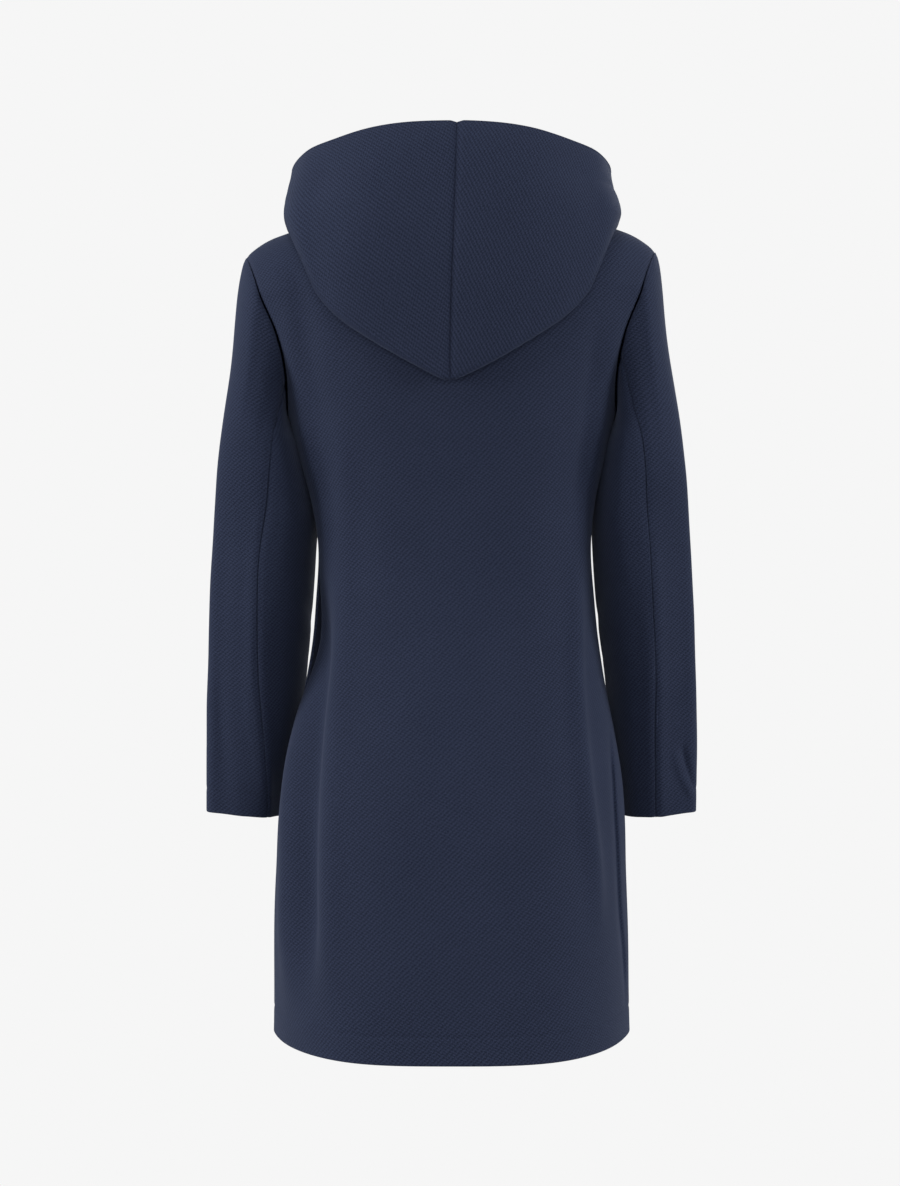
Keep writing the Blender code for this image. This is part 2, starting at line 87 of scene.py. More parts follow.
def add(tree, kind, inputs=None, **settings):
    """Add a node. Its inputs are given by name or number, as values, sockets or nodes,
    and a node stands for the first of its outputs that is in use."""
    node = tree.nodes.new("ShaderNode" + kind)
    for key, value in settings.items():
        setattr(node, key, value)
    for key, value in (inputs or {}).items():
        if isinstance(value, bpy.types.Node):
            value = next(socket for socket in value.outputs if socket.enabled)
        if isinstance(value, bpy.types.NodeSocket):
            tree.links.new(value, node.inputs[key])
        else:
            node.inputs[key].default_value = value
    return node


def blank_material(name):
    """A material with an empty node tree."""
    made = bpy.data.materials.new(name)
    made.use_nodes = True
    made.node_tree.nodes.clear()
    return made, made.node_tree


FACTOR, FIRST, SECOND = 0, 6, 7  # inputs of a colour Mix node

# %% [markdown]
# ## The studio
#
# A coat in dark wool needs soft light from all round, or its folds drown in black. The
# world is an even white, which is also the backdrop. The floor is a wide pale disc: it
# takes the coat's soft shadow in its middle, and further out it goes over into the
# white of the backdrop, so that there is no horizon. Two large lamps, far out to the
# sides and hardly higher than the coat, draw the long folds, a lamp above casts the
# hood's soft shadow, and weak ones fill the back and the front.

# %% World, floor and lamps
BACKDROP, PAPER = "F6F6F6", "E4E4E4"
AMBIENT = 0.33                   # light from the white walls, as a share of how they look
FLOOR_LEVEL = -1.40              # where a wearer would stand
FLOOR_RADIUS, FLOOR_CORNERS = 12.0, 96
PALE_RADIUS, FADED_RADIUS = 0.8, 1.25    # the matt middle, and where it has faded
MIDDLE = (0, 0, -0.40)           # what the lamps are turned to
LAMPS = {                        # place, width and watts of each
    "key_softbox": ((2.45, 0.70, 0.2), 0.9, 42),
    "fill_softbox": ((-2.45, 0.70, 0.2), 0.9, 34),
    "top_softbox": ((0.3, 1.3, 2.2), 0.8, 15),
    "back_softbox": ((0.1, 2.8, 0.4), 1.2, 15),
    "front_softbox": ((-0.9, -2.4, 0.6), 1.6, 18),
}


def mesh_object(name, points, faces, finish):
    """Object whose mesh has these points and faces, smooth, with one finish."""
    mesh = bpy.data.meshes.new(name)
    mesh.from_pydata(points.tolist(), [], faces)
    mesh.shade_smooth()
    mesh.materials.append(finish)
    made = bpy.data.objects.new(name, mesh)
    bpy.context.scene.collection.objects.link(made)
    return made


def lamp(name, place, width, watts):
    """A square area light that shines from its place towards the coat's middle."""
    data = bpy.data.lights.new(name, "AREA")
    data.size, data.energy = width, watts
    made = bpy.data.objects.new(name, data)
    x, y, z = np.array(MIDDLE) - place
    made.location = place
    made.rotation_euler = (math.atan2(math.hypot(x, y), -z), 0, math.atan2(-x, y))
    made.visible_camera = False
    bpy.context.scene.collection.objects.link(made)


world = bpy.data.worlds.new("studio_white")
world.use_nodes = True
tree = world.node_tree
sky = tree.nodes["Background"]
sky.inputs["Color"].default_value = linear(BACKDROP)
seen = add(tree, "LightPath").outputs["Is Camera Ray"]
strength = add(tree, "MapRange", {"Value": seen, "To Min": AMBIENT, "To Max": 1.0})
tree.links.new(strength.outputs["Result"], sky.inputs["Strength"])
bpy.context.scene.world = world
bpy.context.scene.view_settings.view_transform = "Standard"

paper, tree = blank_material("studio_floor_paper")
place = add(tree, "TexCoord").outputs
radius = add(tree, "VectorMath", {0: place["Object"]}, operation="LENGTH")
fade = add(tree, "MapRange", {"Value": radius, "From Min": PALE_RADIUS, "From Max": FADED_RADIUS},
           interpolation_type="SMOOTHSTEP")
matt = add(tree, "BsdfDiffuse", {"Color": linear(PAPER)})
seen = add(tree, "LightPath").outputs["Is Camera Ray"]
strength = add(tree, "MapRange", {"Value": seen, "To Min": AMBIENT, "To Max": 1.0})
glow = add(tree, "Emission", {"Color": linear(BACKDROP), "Strength": strength})
both = add(tree, "MixShader", {0: fade, 1: matt, 2: glow})
add(tree, "OutputMaterial", {"Surface": both})

around = np.linspace(0, 2 * np.pi, FLOOR_CORNERS + 1)[:-1]
rim = np.stack([np.cos(around), np.sin(around), 0 * around], axis=-1) * FLOOR_RADIUS
floor = mesh_object("studio_floor", rim, [list(range(FLOOR_CORNERS))], paper)
floor.location = (0, 0, FLOOR_LEVEL)
for name, settings in LAMPS.items():
    lamp(name, *settings)
print("lamps", len(LAMPS), "floor", 2 * FLOOR_RADIUS, "m wide")

# %% [markdown]
# ## The wool twill
#
# The cloth is a brushed wool coating in a bold twill: diagonal ribs that lie 3.6 mm
# apart, each broken into short floats where the threads cross. A picture of the cloth
# could be wrapped round the coat, but waves worked out from the cloth's own flat
# measure stay sharp at any distance and follow each piece's grain. The flat measure is
# the UV map "weave", in metres: U runs across the ribs and V along them. A noise lets
# the ribs wander, a second wave cuts them into floats, and fine fibres and a cloudy
# shade of the dye lie over both. The nap makes wool glow a little where it turns away
# from the eye, which is sheen; there is hardly any gloss.

# %% Wool twill material
WALE = 0.0036                    # from one diagonal rib to the next
FLOAT = 0.0028                   # visible length of one thread along a rib
STRAYS = ((90.0, 0.0016), (420.0, 0.0014))     # noise scale and reach of the ribs' wandering
FIBRE = 1 / 0.0011               # noise scale of the fibres, drawn coarser than real
SHADE = 1 / 0.070                # noise scale of the uneven dye
FLOAT_SHARE, THREAD_SHARE = 0.7, 0.10    # floats beside ribs, and both beside the fibres
RIB_DEPTH = 0.0004

wool, tree = blank_material("navy_wool_twill_cloth")
place = add(tree, "TexCoord").outputs
laid = place["UV"]
for scale, reach in STRAYS:
    stray = add(tree, "TexNoise", {"Vector": place["UV"], "Scale": scale, "Detail": 1.0})
    laid = add(tree, "VectorMath", {0: stray.outputs["Color"], 1: (reach,) * 3, 2: laid},
               operation="MULTIPLY_ADD")
waves = []
for across, along in ((1 / WALE, 0), (0.5 / WALE, 1 / FLOAT)):       # turns for each metre
    turn = add(tree, "VectorMath", {0: laid, 1: (2 * math.pi * across, 2 * math.pi * along, 0)},
               operation="DOT_PRODUCT")
    waves.append(add(tree, "Math", {0: turn}, operation="SINE"))
rib, floats = waves
fibre = add(tree, "TexNoise", {"Vector": place["UV"], "Scale": FIBRE, "Detail": 2.0})
thread = add(tree, "Math", {0: floats, 1: FLOAT_SHARE, 2: rib}, operation="MULTIPLY_ADD")
height = add(tree, "Math", {0: thread, 1: THREAD_SHARE, 2: fibre}, operation="MULTIPLY_ADD")
lit = add(tree, "MapRange", {"Value": height, "From Min": 0.29, "From Max": 0.71})
yarn = add(tree, "Mix", {FACTOR: lit, FIRST: linear("1C2132"), SECOND: linear("333B52")},
           data_type="RGBA")
dye = add(tree, "TexNoise", {"Vector": place["Object"], "Scale": SHADE, "Detail": 4.0})
shade = add(tree, "MapRange", {"Value": dye, "From Min": 0.3, "From Max": 0.7})
dyed = add(tree, "Mix", {FACTOR: shade, FIRST: linear("F4F5F6"), SECOND: linear("FFFFFF")},
           data_type="RGBA")
colour = add(tree, "Mix", {FACTOR: 1.0, FIRST: yarn, SECOND: dyed}, data_type="RGBA",
             blend_type="MULTIPLY")
relief = add(tree, "Bump", {"Height": height, "Distance": RIB_DEPTH, "Strength": 0.8})
surface = add(tree, "BsdfPrincipled", {
    "Base Color": colour, "Roughness": 0.85, "IOR": 1.45, "Specular IOR Level": 0.12,
    "Sheen Weight": 0.22, "Sheen Roughness": 0.45, "Sheen Tint": linear("8C97B4"),
    "Normal": relief})
add(tree, "OutputMaterial", {"Surface": surface})
print("twill nodes", len(tree.nodes))

# %% [markdown]
# ## Leather, cord and horn
#
# The fastenings are small, so their finishes are fine. Smooth calf leather has a
# pebbled grain about 0.8 mm across under a thin wax. The cords are laid from three
# dyed cotton strands, and the shape of the strands comes from the mesh, so the
# material only adds the spun fibre. Horn is polished after turning: dark brown with
# paler streaks that run along the piece, under a soft gloss.

# %% Leather material
GRAIN = 1 / 0.0008               # noise scale of the pebbles
PEBBLE_DEPTH, WEAR = 0.00012, 160.0      # depth of the grain, noise scale of the wear
leather, tree = blank_material("navy_calf_leather")
place = add(tree, "TexCoord").outputs
pebble = add(tree, "TexVoronoi", {"Vector": place["Object"], "Scale": GRAIN})
wear = add(tree, "TexNoise", {"Vector": place["Object"], "Scale": WEAR, "Detail": 4.0})
tone = add(tree, "Mix", {FACTOR: wear, FIRST: linear("12151F"), SECOND: linear("2A3040")},
           data_type="RGBA")
gloss = add(tree, "MapRange", {"Value": wear, "To Min": 0.38, "To Max": 0.62})
relief = add(tree, "Bump", {"Height": pebble, "Distance": PEBBLE_DEPTH, "Strength": 0.6})
surface = add(tree, "BsdfPrincipled", {
    "Base Color": tone, "Roughness": gloss, "IOR": 1.5, "Coat Weight": 0.15,
    "Coat Roughness": 0.35, "Normal": relief})
add(tree, "OutputMaterial", {"Surface": surface})

# %% Cord and thread material
SPUN, SPUN_DEPTH = 2200.0, 0.0001        # noise scale and depth of the spun fibre
cotton, tree = blank_material("navy_cotton_cord")
place = add(tree, "TexCoord").outputs
spun = add(tree, "TexNoise", {"Vector": place["Object"], "Scale": SPUN, "Detail": 3.0})
tone = add(tree, "Mix", {FACTOR: spun, FIRST: linear("151A28"), SECOND: linear("333C54")},
           data_type="RGBA")
relief = add(tree, "Bump", {"Height": spun, "Distance": SPUN_DEPTH, "Strength": 0.7})
surface = add(tree, "BsdfPrincipled", {
    "Base Color": tone, "Roughness": 0.75, "Specular IOR Level": 0.3, "Sheen Weight": 0.25,
    "Sheen Roughness": 0.4, "Normal": relief})
add(tree, "OutputMaterial", {"Surface": surface})

# %% Horn material
STREAKS = (60.0, 700.0, 700.0)   # long along the toggle, 1.4 mm across it
horn, tree = blank_material("polished_dark_horn")
place = add(tree, "TexCoord").outputs
drawn = add(tree, "Mapping", {"Vector": place["Object"], "Scale": STREAKS})
streak = add(tree, "TexNoise", {"Vector": drawn, "Scale": 1.0, "Detail": 5.0, "Distortion": 0.6})
depth = add(tree, "MapRange", {"Value": streak, "From Min": 0.42, "From Max": 0.72},
            interpolation_type="SMOOTHSTEP")
tone = add(tree, "Mix", {FACTOR: depth, FIRST: linear("1E130D"), SECOND: linear("6E4B2E")},
           data_type="RGBA")
gloss = add(tree, "MapRange", {"Value": streak, "To Min": 0.20, "To Max": 0.34})
surface = add(tree, "BsdfPrincipled", {
    "Base Color": tone, "Roughness": gloss, "IOR": 1.54, "Coat Weight": 0.4,
    "Coat Roughness": 0.12})
add(tree, "OutputMaterial", {"Surface": surface})
print("materials", [m.name for m in bpy.data.materials])

# %% [markdown]
# ## The measures of the coat
#
# The solid walls were made from tables of body measures: half widths, depths and seam
# positions at a few heights. The cloth must lie on the same forms, so the tables stand
# here again, changed by a few millimetres where cloth leaves the form, and are read far
# more finely. A smooth curve is led through each column, which is what a tailor does
# with a curved ruler through a few marked points.


# %% Reading a table of measures
def table(columns, rows):
    """Rows of numbers with named columns, ordered by the first one."""
    return np.array(rows, dtype=[(name, float) for name in columns.split()])


def cubic(t, start, end, start_slope, end_slope):
    """Cubic with the given ends and end slopes: (2t^3 - 3t^2 + 1) start + (t^3 - 2t^2 + t)
    start slope + (3t^2 - 2t^3) end + (t^3 - t^2) end slope, for t from 0 to 1."""
    first = (2 * t**3 - 3 * t**2 + 1) * start + (t**3 - 2 * t**2 + t) * start_slope
    return first + (3 * t**2 - 2 * t**3) * end + (t**3 - t**2) * end_slope


def through(rows, column, at, level_start=False):
    """Smooth curve through a column: between each two rows a cubic, whose end slopes
    come from the neighbouring rows, or are level at the first one."""
    keys, values = rows[rows.dtype.names[0]], rows[column]
    slopes = np.gradient(values, keys)
    if level_start:
        slopes[0] = 0.0
    at = np.clip(at, keys[0], keys[-1])
    i = np.clip(np.searchsorted(keys, at) - 1, 0, len(keys) - 2)
    width = keys[i + 1] - keys[i]
    return cubic((at - keys[i]) / width, values[i], values[i + 1],
                 slopes[i] * width, slopes[i + 1] * width)


def ease(t):
    """Smooth step from 0 to 1: t squared times (3 - 2 t)."""
    t = np.clip(t, 0.0, 1.0)
    return t * t * (3 - 2 * t)


def window(at, start, rise, end, fall):
    """Share that eases from 0 at the start to 1, and back to 0 at the end."""
    return ease((at - start) / rise) * ease((end - at) / fall)


def bell(distance, width):
    """Share that is 1 at no distance and falls off to both sides: exp(-(d / width)^2)."""
    return np.exp(-((distance / width) ** 2))


def unit(vectors):
    """Vectors divided by their own lengths."""
    return vectors / np.maximum(np.linalg.norm(vectors, axis=-1, keepdims=True), 1e-12)


def square_to(normal, vectors):
    """Unit vectors at right angles to a normal: v - (v . n) n, divided by its length."""
    return unit(vectors - (vectors * normal).sum(-1, keepdims=True) * normal)


# %% Body measures
LEFT, RIGHT = 1, -1
SIDE_NAME = {LEFT: "left", RIGHT: "right"}
BACK, FRONT = 1, -1
HEM, ARMPIT, YOKE, SHOULDER_TIP = -0.868, -0.225, -0.100, -0.0525
NECK_HALF, NECK_BACK, NECK_FRONT = 0.075, 0.062, 0.0955
SHOULDER_SLOPE, SHOULDER_BEND, BEND_RATE = 0.33, 0.180, 8.0
SIDE_POWER, DEPTH_POWER, BACK_ROUND, FRONT_ROUND = 3.3, 1.4, 2.2, 1.8
SHOULDER_ROLL, ROLL_START, WALL_UNIT = 0.015, -0.300, 0.100
SEAM = 0.0012
OVERLAP = 0.035

BODY = table("height half back front lean", [
    (-0.868, 0.1870, 0.172, 0.158, 0.0000),
    (-0.780, 0.1860, 0.163, 0.152, 0.0000),
    (-0.700, 0.1838, 0.153, 0.147, 0.0000),
    (-0.640, 0.1814, 0.144, 0.143, -0.0007),
    (-0.600, 0.1765, 0.136, 0.140, -0.0025),
    (-0.550, 0.1674, 0.124, 0.136, -0.0038),
    (-0.500, 0.1570, 0.112, 0.132, -0.0042),
    (-0.460, 0.1505, 0.103, 0.129, -0.0045),
    (-0.420, 0.1465, 0.096, 0.127, -0.0040),
    (-0.360, 0.1428, 0.092, 0.127, -0.0033),
    (-0.315, 0.1485, 0.094, 0.130, -0.0016),
    (-0.270, 0.1590, 0.099, 0.135, -0.0008),
    (-0.225, 0.1712, 0.105, 0.136, 0.0000),
    (-0.160, 0.2000, 0.111, 0.122, 0.0005),
    (-0.100, 0.2320, 0.110, 0.100, 0.0010),
])
# The flanks: how far they are pushed back, and over what width and depth it grows.
FLANK_PUSH, FLANK_WIDTH, FLANK_DEPTH = 0.0150, 0.019, 0.060
FLANK = table("height reach share", [
    (-0.450, 0.136, 0.0),
    (-0.385, 0.139, 0.7),
    (-0.335, 0.144, 1.0),
    (-0.300, 0.150, 1.0),
    (-0.250, 0.159, 1.0),
    (-0.180, 0.168, 0.0),
])
ARMHOLE = table("height half", [
    (-0.2250, 0.1712),
    (-0.1850, 0.1705),
    (-0.1450, 0.1775),
    (-0.1050, 0.1940),
    (-0.0525, 0.2145),
])


# %% [markdown]
# The trunk is a tube whose level section is a superellipse: the share of the width to
# one power and the share of the depth to another add up to one. Above the yoke level
# the tube closes over the shoulders like a vault. A place on it is given by its
# distance from the middle and by how far up it lies, and two functions turn these into
# points: one for the bare form, one for a cut panel that ends at its seams. A third one
# leans the points a little and moves the flanks back, where the sleeves press on them.

# %% Form of the trunk
def shoulder(x):
    """Height of the shoulder seam: it falls evenly, then faster past the bend."""
    x = np.abs(x)
    fall = SHOULDER_SLOPE * np.maximum(0, x - NECK_HALF)
    return -fall - BEND_RATE * np.maximum(0, x - SHOULDER_BEND) ** 2


def torso(x, over, out=0.0):
    """Point on the trunk. over is 0 at the yoke level behind, 1 on the shoulder seam, 2
    at the yoke level in front, and runs on down the walls. With u = x / half width,
    the reach is depth * (1 - u^3.3)^(1/1.4) * cos(turn)^(2/power)."""
    x, over = np.broadcast_arrays(np.asarray(x, float), np.asarray(over, float))
    back = over <= 1
    rise = np.where(back, over, 2 - over)
    power = np.where(back, BACK_ROUND, FRONT_ROUND)
    level = YOKE + np.minimum(rise, 0) * WALL_UNIT
    turn = np.clip(rise, 0, 1) * np.pi / 2
    z_over = YOKE + (shoulder(x) + out - YOKE) * np.sin(turn) ** (2 / power)
    z = np.where(rise < 0, level, z_over)
    half = through(BODY, "half", level) + out
    depth = np.where(back, through(BODY, "back", level), through(BODY, "front", level)) + out
    inside = np.maximum(0, 1 - np.abs(x / half) ** SIDE_POWER)
    reach = depth * inside ** (1 / DEPTH_POWER) * np.abs(np.cos(turn)) ** (2 / power)
    return np.stack([x, np.where(back, reach, -reach), z], axis=-1)


def flank_push(points):
    """How far back the cloth below the armholes stands: all of the push from a line
    outwards, and push * exp(-(d / width)^2) at a distance d inside it. It grows from
    nothing over the depth before the side seam, so that back and front stay joined."""
    x, y, z = np.moveaxis(points, -1, 0)
    line = np.interp(z, FLANK["height"], FLANK["reach"])
    share = ease(np.interp(z, FLANK["height"], FLANK["share"])) * ease(1 + y / FLANK_DEPTH)
    inside = np.maximum(0, line - np.abs(x))
    return FLANK_PUSH * share * bell(inside, FLANK_WIDTH)


def leaned(points):
    """Points with the coat's slight lean, its right shoulder the higher, and the flanks
    pushed back."""
    points = np.array(points, float)
    points[..., 1] += flank_push(points)
    height = points[..., 2].copy()
    points[..., 2] -= SHOULDER_ROLL * points[..., 0] * ease((height - ROLL_START) / -ROLL_START)
    points[..., 0] += through(BODY, "lean", height)
    return points


def neck_rise(x, face):
    """How far over the shoulder a panel goes: to 1, or to the round neckline."""
    x = np.abs(x)
    round_neck = np.sqrt(np.maximum(0, 1 - (x / NECK_HALF) ** 2))
    reach, column, power = NECK_BACK, "back", BACK_ROUND
    if face == FRONT:
        reach, column, power = NECK_FRONT, "front", FRONT_ROUND
    inside = np.maximum(1e-9, 1 - np.abs(x / through(BODY, "half", YOKE)) ** SIDE_POWER)
    depth = through(BODY, column, YOKE) * inside ** (1 / DEPTH_POWER)
    share = np.clip(reach * round_neck / depth, 0, 1)
    return np.arccos(share ** (power / 2)) / (np.pi / 2)


def wall_height(rise):
    """Height at a rise up the wall: 0 is the hem, 1 the armpit, 2 the yoke level."""
    return HEM + (ARMPIT - HEM) * np.clip(rise, 0, 1) + (YOKE - ARMPIT) * np.clip(rise - 1, 0, 1)


def side_edge(rise, face):
    """Half width of a panel at a rise: down the side seam, then round the armhole."""
    power = BACK_ROUND if face == BACK else FRONT_ROUND
    turn = np.clip(rise - 2, 0, 1) * np.pi / 2
    over = YOKE + (SHOULDER_TIP - YOKE) * np.sin(turn) ** (2 / power)
    height = np.where(rise > 2, over, wall_height(rise))
    return np.where(rise < 1, through(BODY, "half", height), through(ARMHOLE, "half", height))


def panel_point(x, rise, face, out=0.0):
    """Point of a panel at x and a rise, half a seam's gap behind or before the middle."""
    way = (wall_height(rise) - YOKE) / WALL_UNIT
    way = np.where(rise > 2, (rise - 2) * neck_rise(x, face), way)
    point = torso(x, way if face == BACK else 2 - way, out)
    point[..., 1] += face * SEAM / 2
    return point


# %% [markdown]
# ## Handling cloth
#
# Every piece of cloth is a grid of points. Its first direction runs to the right and
# its second upwards, as seen from outside, so that the two crossed give the outside.
# Three things are done to each grid. Folds lift or sink it along given lines.
# Its edges sink a little towards their seams and are turned inwards, because cloth is
# never cut and left raw: at a seam it rolls under, and at a hem it comes back up
# inside. Last, the grid is measured along its threads, which gives the twill its true
# scale, and is made a mesh with a thin wall. A cloth simulation would sag these pieces
# a little further, but the coat keeps its worn shape, so folds listed one by one follow
# the real ones more closely.


# %% Folds
def facing(points):
    """Outward direction at each point: the two grid directions crossed."""
    return unit(np.cross(np.gradient(points, axis=0), np.gradient(points, axis=1)))


def folded(points, across, up, folds, way=None):
    """Points moved out by the sum of all folds. A fold is (height, width, fade, path):
    height * exp(-(d / width)^2) at a distance d across from its path, which gives the
    place across at some heights, and it grows from nothing over fade at both ends. Out
    is the way that the cloth faces, unless another way is given."""
    lift = np.zeros(points.shape[:2])
    for height, width, fade, path in folds:
        rows = table("up across", sorted(path))
        line = through(rows, "across", up)
        reach = window(up, rows["up"][0], fade, rows["up"][-1], fade)
        lift += height * reach * bell(across - line, width)
    return points + (facing(points) if way is None else np.array(way)) * lift[..., None]


UNEVEN, WAVES = 0.0006, 16       # depth of the cloth's unevenness, and number of its waves


def uneven(points, size, seed):
    """Points moved out by a slow unevenness: twice the mean of plane waves of about one
    size, whose directions and phases are drawn at random from a fixed seed."""
    draw = np.random.default_rng(seed)
    direction = unit(draw.normal(size=(WAVES, 3)))
    number = 2 * np.pi / (size * draw.uniform(0.7, 1.6, WAVES))
    phase = draw.uniform(0, 2 * np.pi, WAVES)
    waves = np.sin(np.einsum("ijk,wk->ijw", points, direction) * number + phase)
    return points + facing(points) * (2 * UNEVEN * waves.mean(axis=-1))[..., None]


# %% Edges
START, END, BOTTOM, TOP = (0, False), (0, True), (1, False), (1, True)
DRAWN = np.array([1.0, 0.72, 0.44, 0.18])      # share by which each last row is drawn in
ARC_ROWS = 6
TAIL_ROWS = np.array([0.35, 0.70, 1.0])        # places of the rows along a tail


def edge_first(cloth, edge):
    """Views of a sheet's arrays whose first row is the chosen edge."""
    axis, at_end = edge
    moved = [np.moveaxis(a, axis, 0) for a in cloth]
    return [a[::-1] for a in moved] if at_end else moved


def edge_back(cloth, edge):
    """The arrays of a sheet, put back the way they were."""
    axis, at_end = edge
    return [np.moveaxis(a[::-1] if at_end else a, 0, axis) for a in cloth]


def running(steps):
    """Running total of the steps, which starts at nothing."""
    return np.concatenate([0 * steps[:1], np.cumsum(steps, axis=0)])


def sunk(cloth, edge, depth, width, inset=0.0):
    """Sheet sunk along a line at an inset from one edge, by depth * exp(-(d/width)^2)."""
    points, outside = edge_first(cloth, edge)
    distance = running(np.linalg.norm(np.diff(points, axis=0), axis=-1))
    lower = depth * bell(distance - inset, width)
    return edge_back([points - outside * lower[..., None], outside], edge)


def turned(cloth, edge, radius, sweep, tail=0.0, turn_in=0.0, draw_in=0.0):
    """Sheet with one edge turned inwards. The edge is drawn in by the radius, and an
    arc goes on from it: edge + r * (away * sin a - outside * (1 - cos a)). A tail runs
    straight on from the arc, and a turn-in runs back behind the sheet, two radii from
    it. sweep and tail may differ from place to place along the edge."""
    points, outside = edge_first(cloth, edge)
    points, drawn = points.copy(), len(DRAWN)
    away = unit(points[:drawn] - points[1:drawn + 1])
    points[:drawn] -= away * DRAWN[:, None, None] * (radius + draw_in)
    first = square_to(outside[0], away[0])
    full = np.radians(np.broadcast_to(sweep, points.shape[1]))[:, None]
    angle = np.linspace(0, 1, ARC_ROWS + 1)[1:, None, None] * full
    arc = points[0] + radius * (first * np.sin(angle) - outside[0] * (1 - np.cos(angle)))
    if np.any(tail):
        way = first * np.cos(full) - outside[0] * np.sin(full)
        arc = np.concatenate([arc, arc[-1] + way * (TAIL_ROWS[:, None] * tail)[..., None]])
    rows = [arc[::-1], points]
    faces = [np.broadcast_to(outside[0], arc.shape), outside]
    if turn_in:
        steps = np.linalg.norm(np.diff(points, axis=0), axis=-1).mean(axis=-1)
        count = int(np.searchsorted(np.cumsum(steps), turn_in)) + 1
        inner = points[1:count + 1] - 2 * radius * outside[1:count + 1]
        rows.insert(0, inner[::-1])
        faces.insert(0, outside[1:count + 1][::-1])
    return edge_back([np.concatenate(rows), np.concatenate(faces)], edge)


# %% Measuring and making up
def flat_measure(points, seam, grain):
    """UV map in metres for a piece cut with its threads level. Each step along the grid
    is split into its level part u and the part v up the slope, added up from one line,
    whose own length gives the start. Both are turned by the grain: U = v cos g - u sin g,
    V = u cos g + v sin g, so that U runs across ribs which rise at the grain angle."""
    outside = facing(points)
    level = square_to(outside, np.gradient(points, axis=0) * (1, 1, 0))
    slope = np.cross(outside, level)
    step = np.diff(points, axis=0)
    u, v = (running((step * (way[1:] + way[:-1]) / 2).sum(-1)) for way in (level, slope))
    start = running(np.linalg.norm(np.diff(points[seam], axis=0), axis=-1))
    u, v = u - u[seam], v - v[seam] + start
    angle = math.radians(grain)
    return np.stack([v * math.cos(angle) - u * math.sin(angle),
                     u * math.cos(angle) + v * math.sin(angle)], axis=-1)


def grid_mesh(name, points, finish, measure=None):
    """Mesh of a grid of points: one four-sided face between each four neighbours."""
    across, up = points.shape[:2]
    number = np.arange(across * up).reshape(across, up)
    corners = [number[:-1, :-1], number[1:, :-1], number[1:, 1:], number[:-1, 1:]]
    faces = np.stack([c.ravel() for c in corners], axis=-1)
    made = mesh_object(name, points.reshape(-1, 3), faces.tolist(), finish)
    if measure is not None:
        weave = made.data.uv_layers.new(name="weave")
        weave.data.foreach_set("uv", measure.reshape(-1, 2)[faces.ravel()].ravel())
    return made


def walled(made, thickness):
    """A sheet's wall, which grows inwards from its outer face."""
    wall = made.modifiers.new("wall", "SOLIDIFY")
    wall.thickness, wall.offset = thickness, -1.0


def tied(made, slot, *nodes):
    """An object on the coat's one body, in place of its solids if it has any."""
    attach(made, "root")
    if nodes:
        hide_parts(*nodes)
    return made


CLOTH_WALL = 0.0010


def made_up(node, cloth, grain, seam=None):
    """A piece of cloth: its mesh, its weave and its wall, in place of its solid."""
    points = cloth[0]
    seam = points.shape[0] // 2 if seam is None else seam
    made = grid_mesh(node + "_cloth", points, wool, flat_measure(points, seam, grain))
    walled(made, CLOTH_WALL)
    return tied(made, "navy_wool_twill", node)


def crowded(count, ends=0.7):
    """Numbers from 0 to 1 that lie closer at both ends: t - ends * sin(2 pi t) / 2 pi."""
    t = np.linspace(0, 1, count)
    return t - ends * np.sin(2 * np.pi * t) / (2 * np.pi)


# %% [markdown]
# ## The back
#
# The back is cut in one piece. It falls from the shoulder seams, draws in at the waist
# and flares to the hem. Two long ridges fall from below the armholes where the cloth
# stands away from the body, a thin crease lies by the right side seam, and between them
# the cloth hangs almost flat, with broad shallow swells. So close to the seam the cloth
# faces the side, where a fold made outwards would not show from behind, so the crease
# is pressed straight forwards. A faint line 27 mm above the edge shows where the hem is
# caught inside.

# %% Back panel
SEAM_ROLL, SEAM_SINK, SEAM_SOFT = 0.0010, 0.0010, 0.0044
CURL, TUCK = (110.0, 0.0015), (50.0, 0.005)    # sweep and tail of the two sides of a seam
HEM_ROLL, LINE_SOFT = 0.0015, 0.0022
HEM_TURN = (0.0275, 0.0005, 0.040)       # its line's place and depth, and its width
TWILL_TURN = 45.0                # how steeply the ribs rise on the trunk, in degrees
TRUNK_WAVE = 0.11                # size of the unevenness on the trunk
BACK_COLUMNS, FRONT_COLUMNS = 121, 81
SIDE_CROWD, TOP_CROWD = 1.4, 1.3         # crowding of columns at the sides, rows at the top
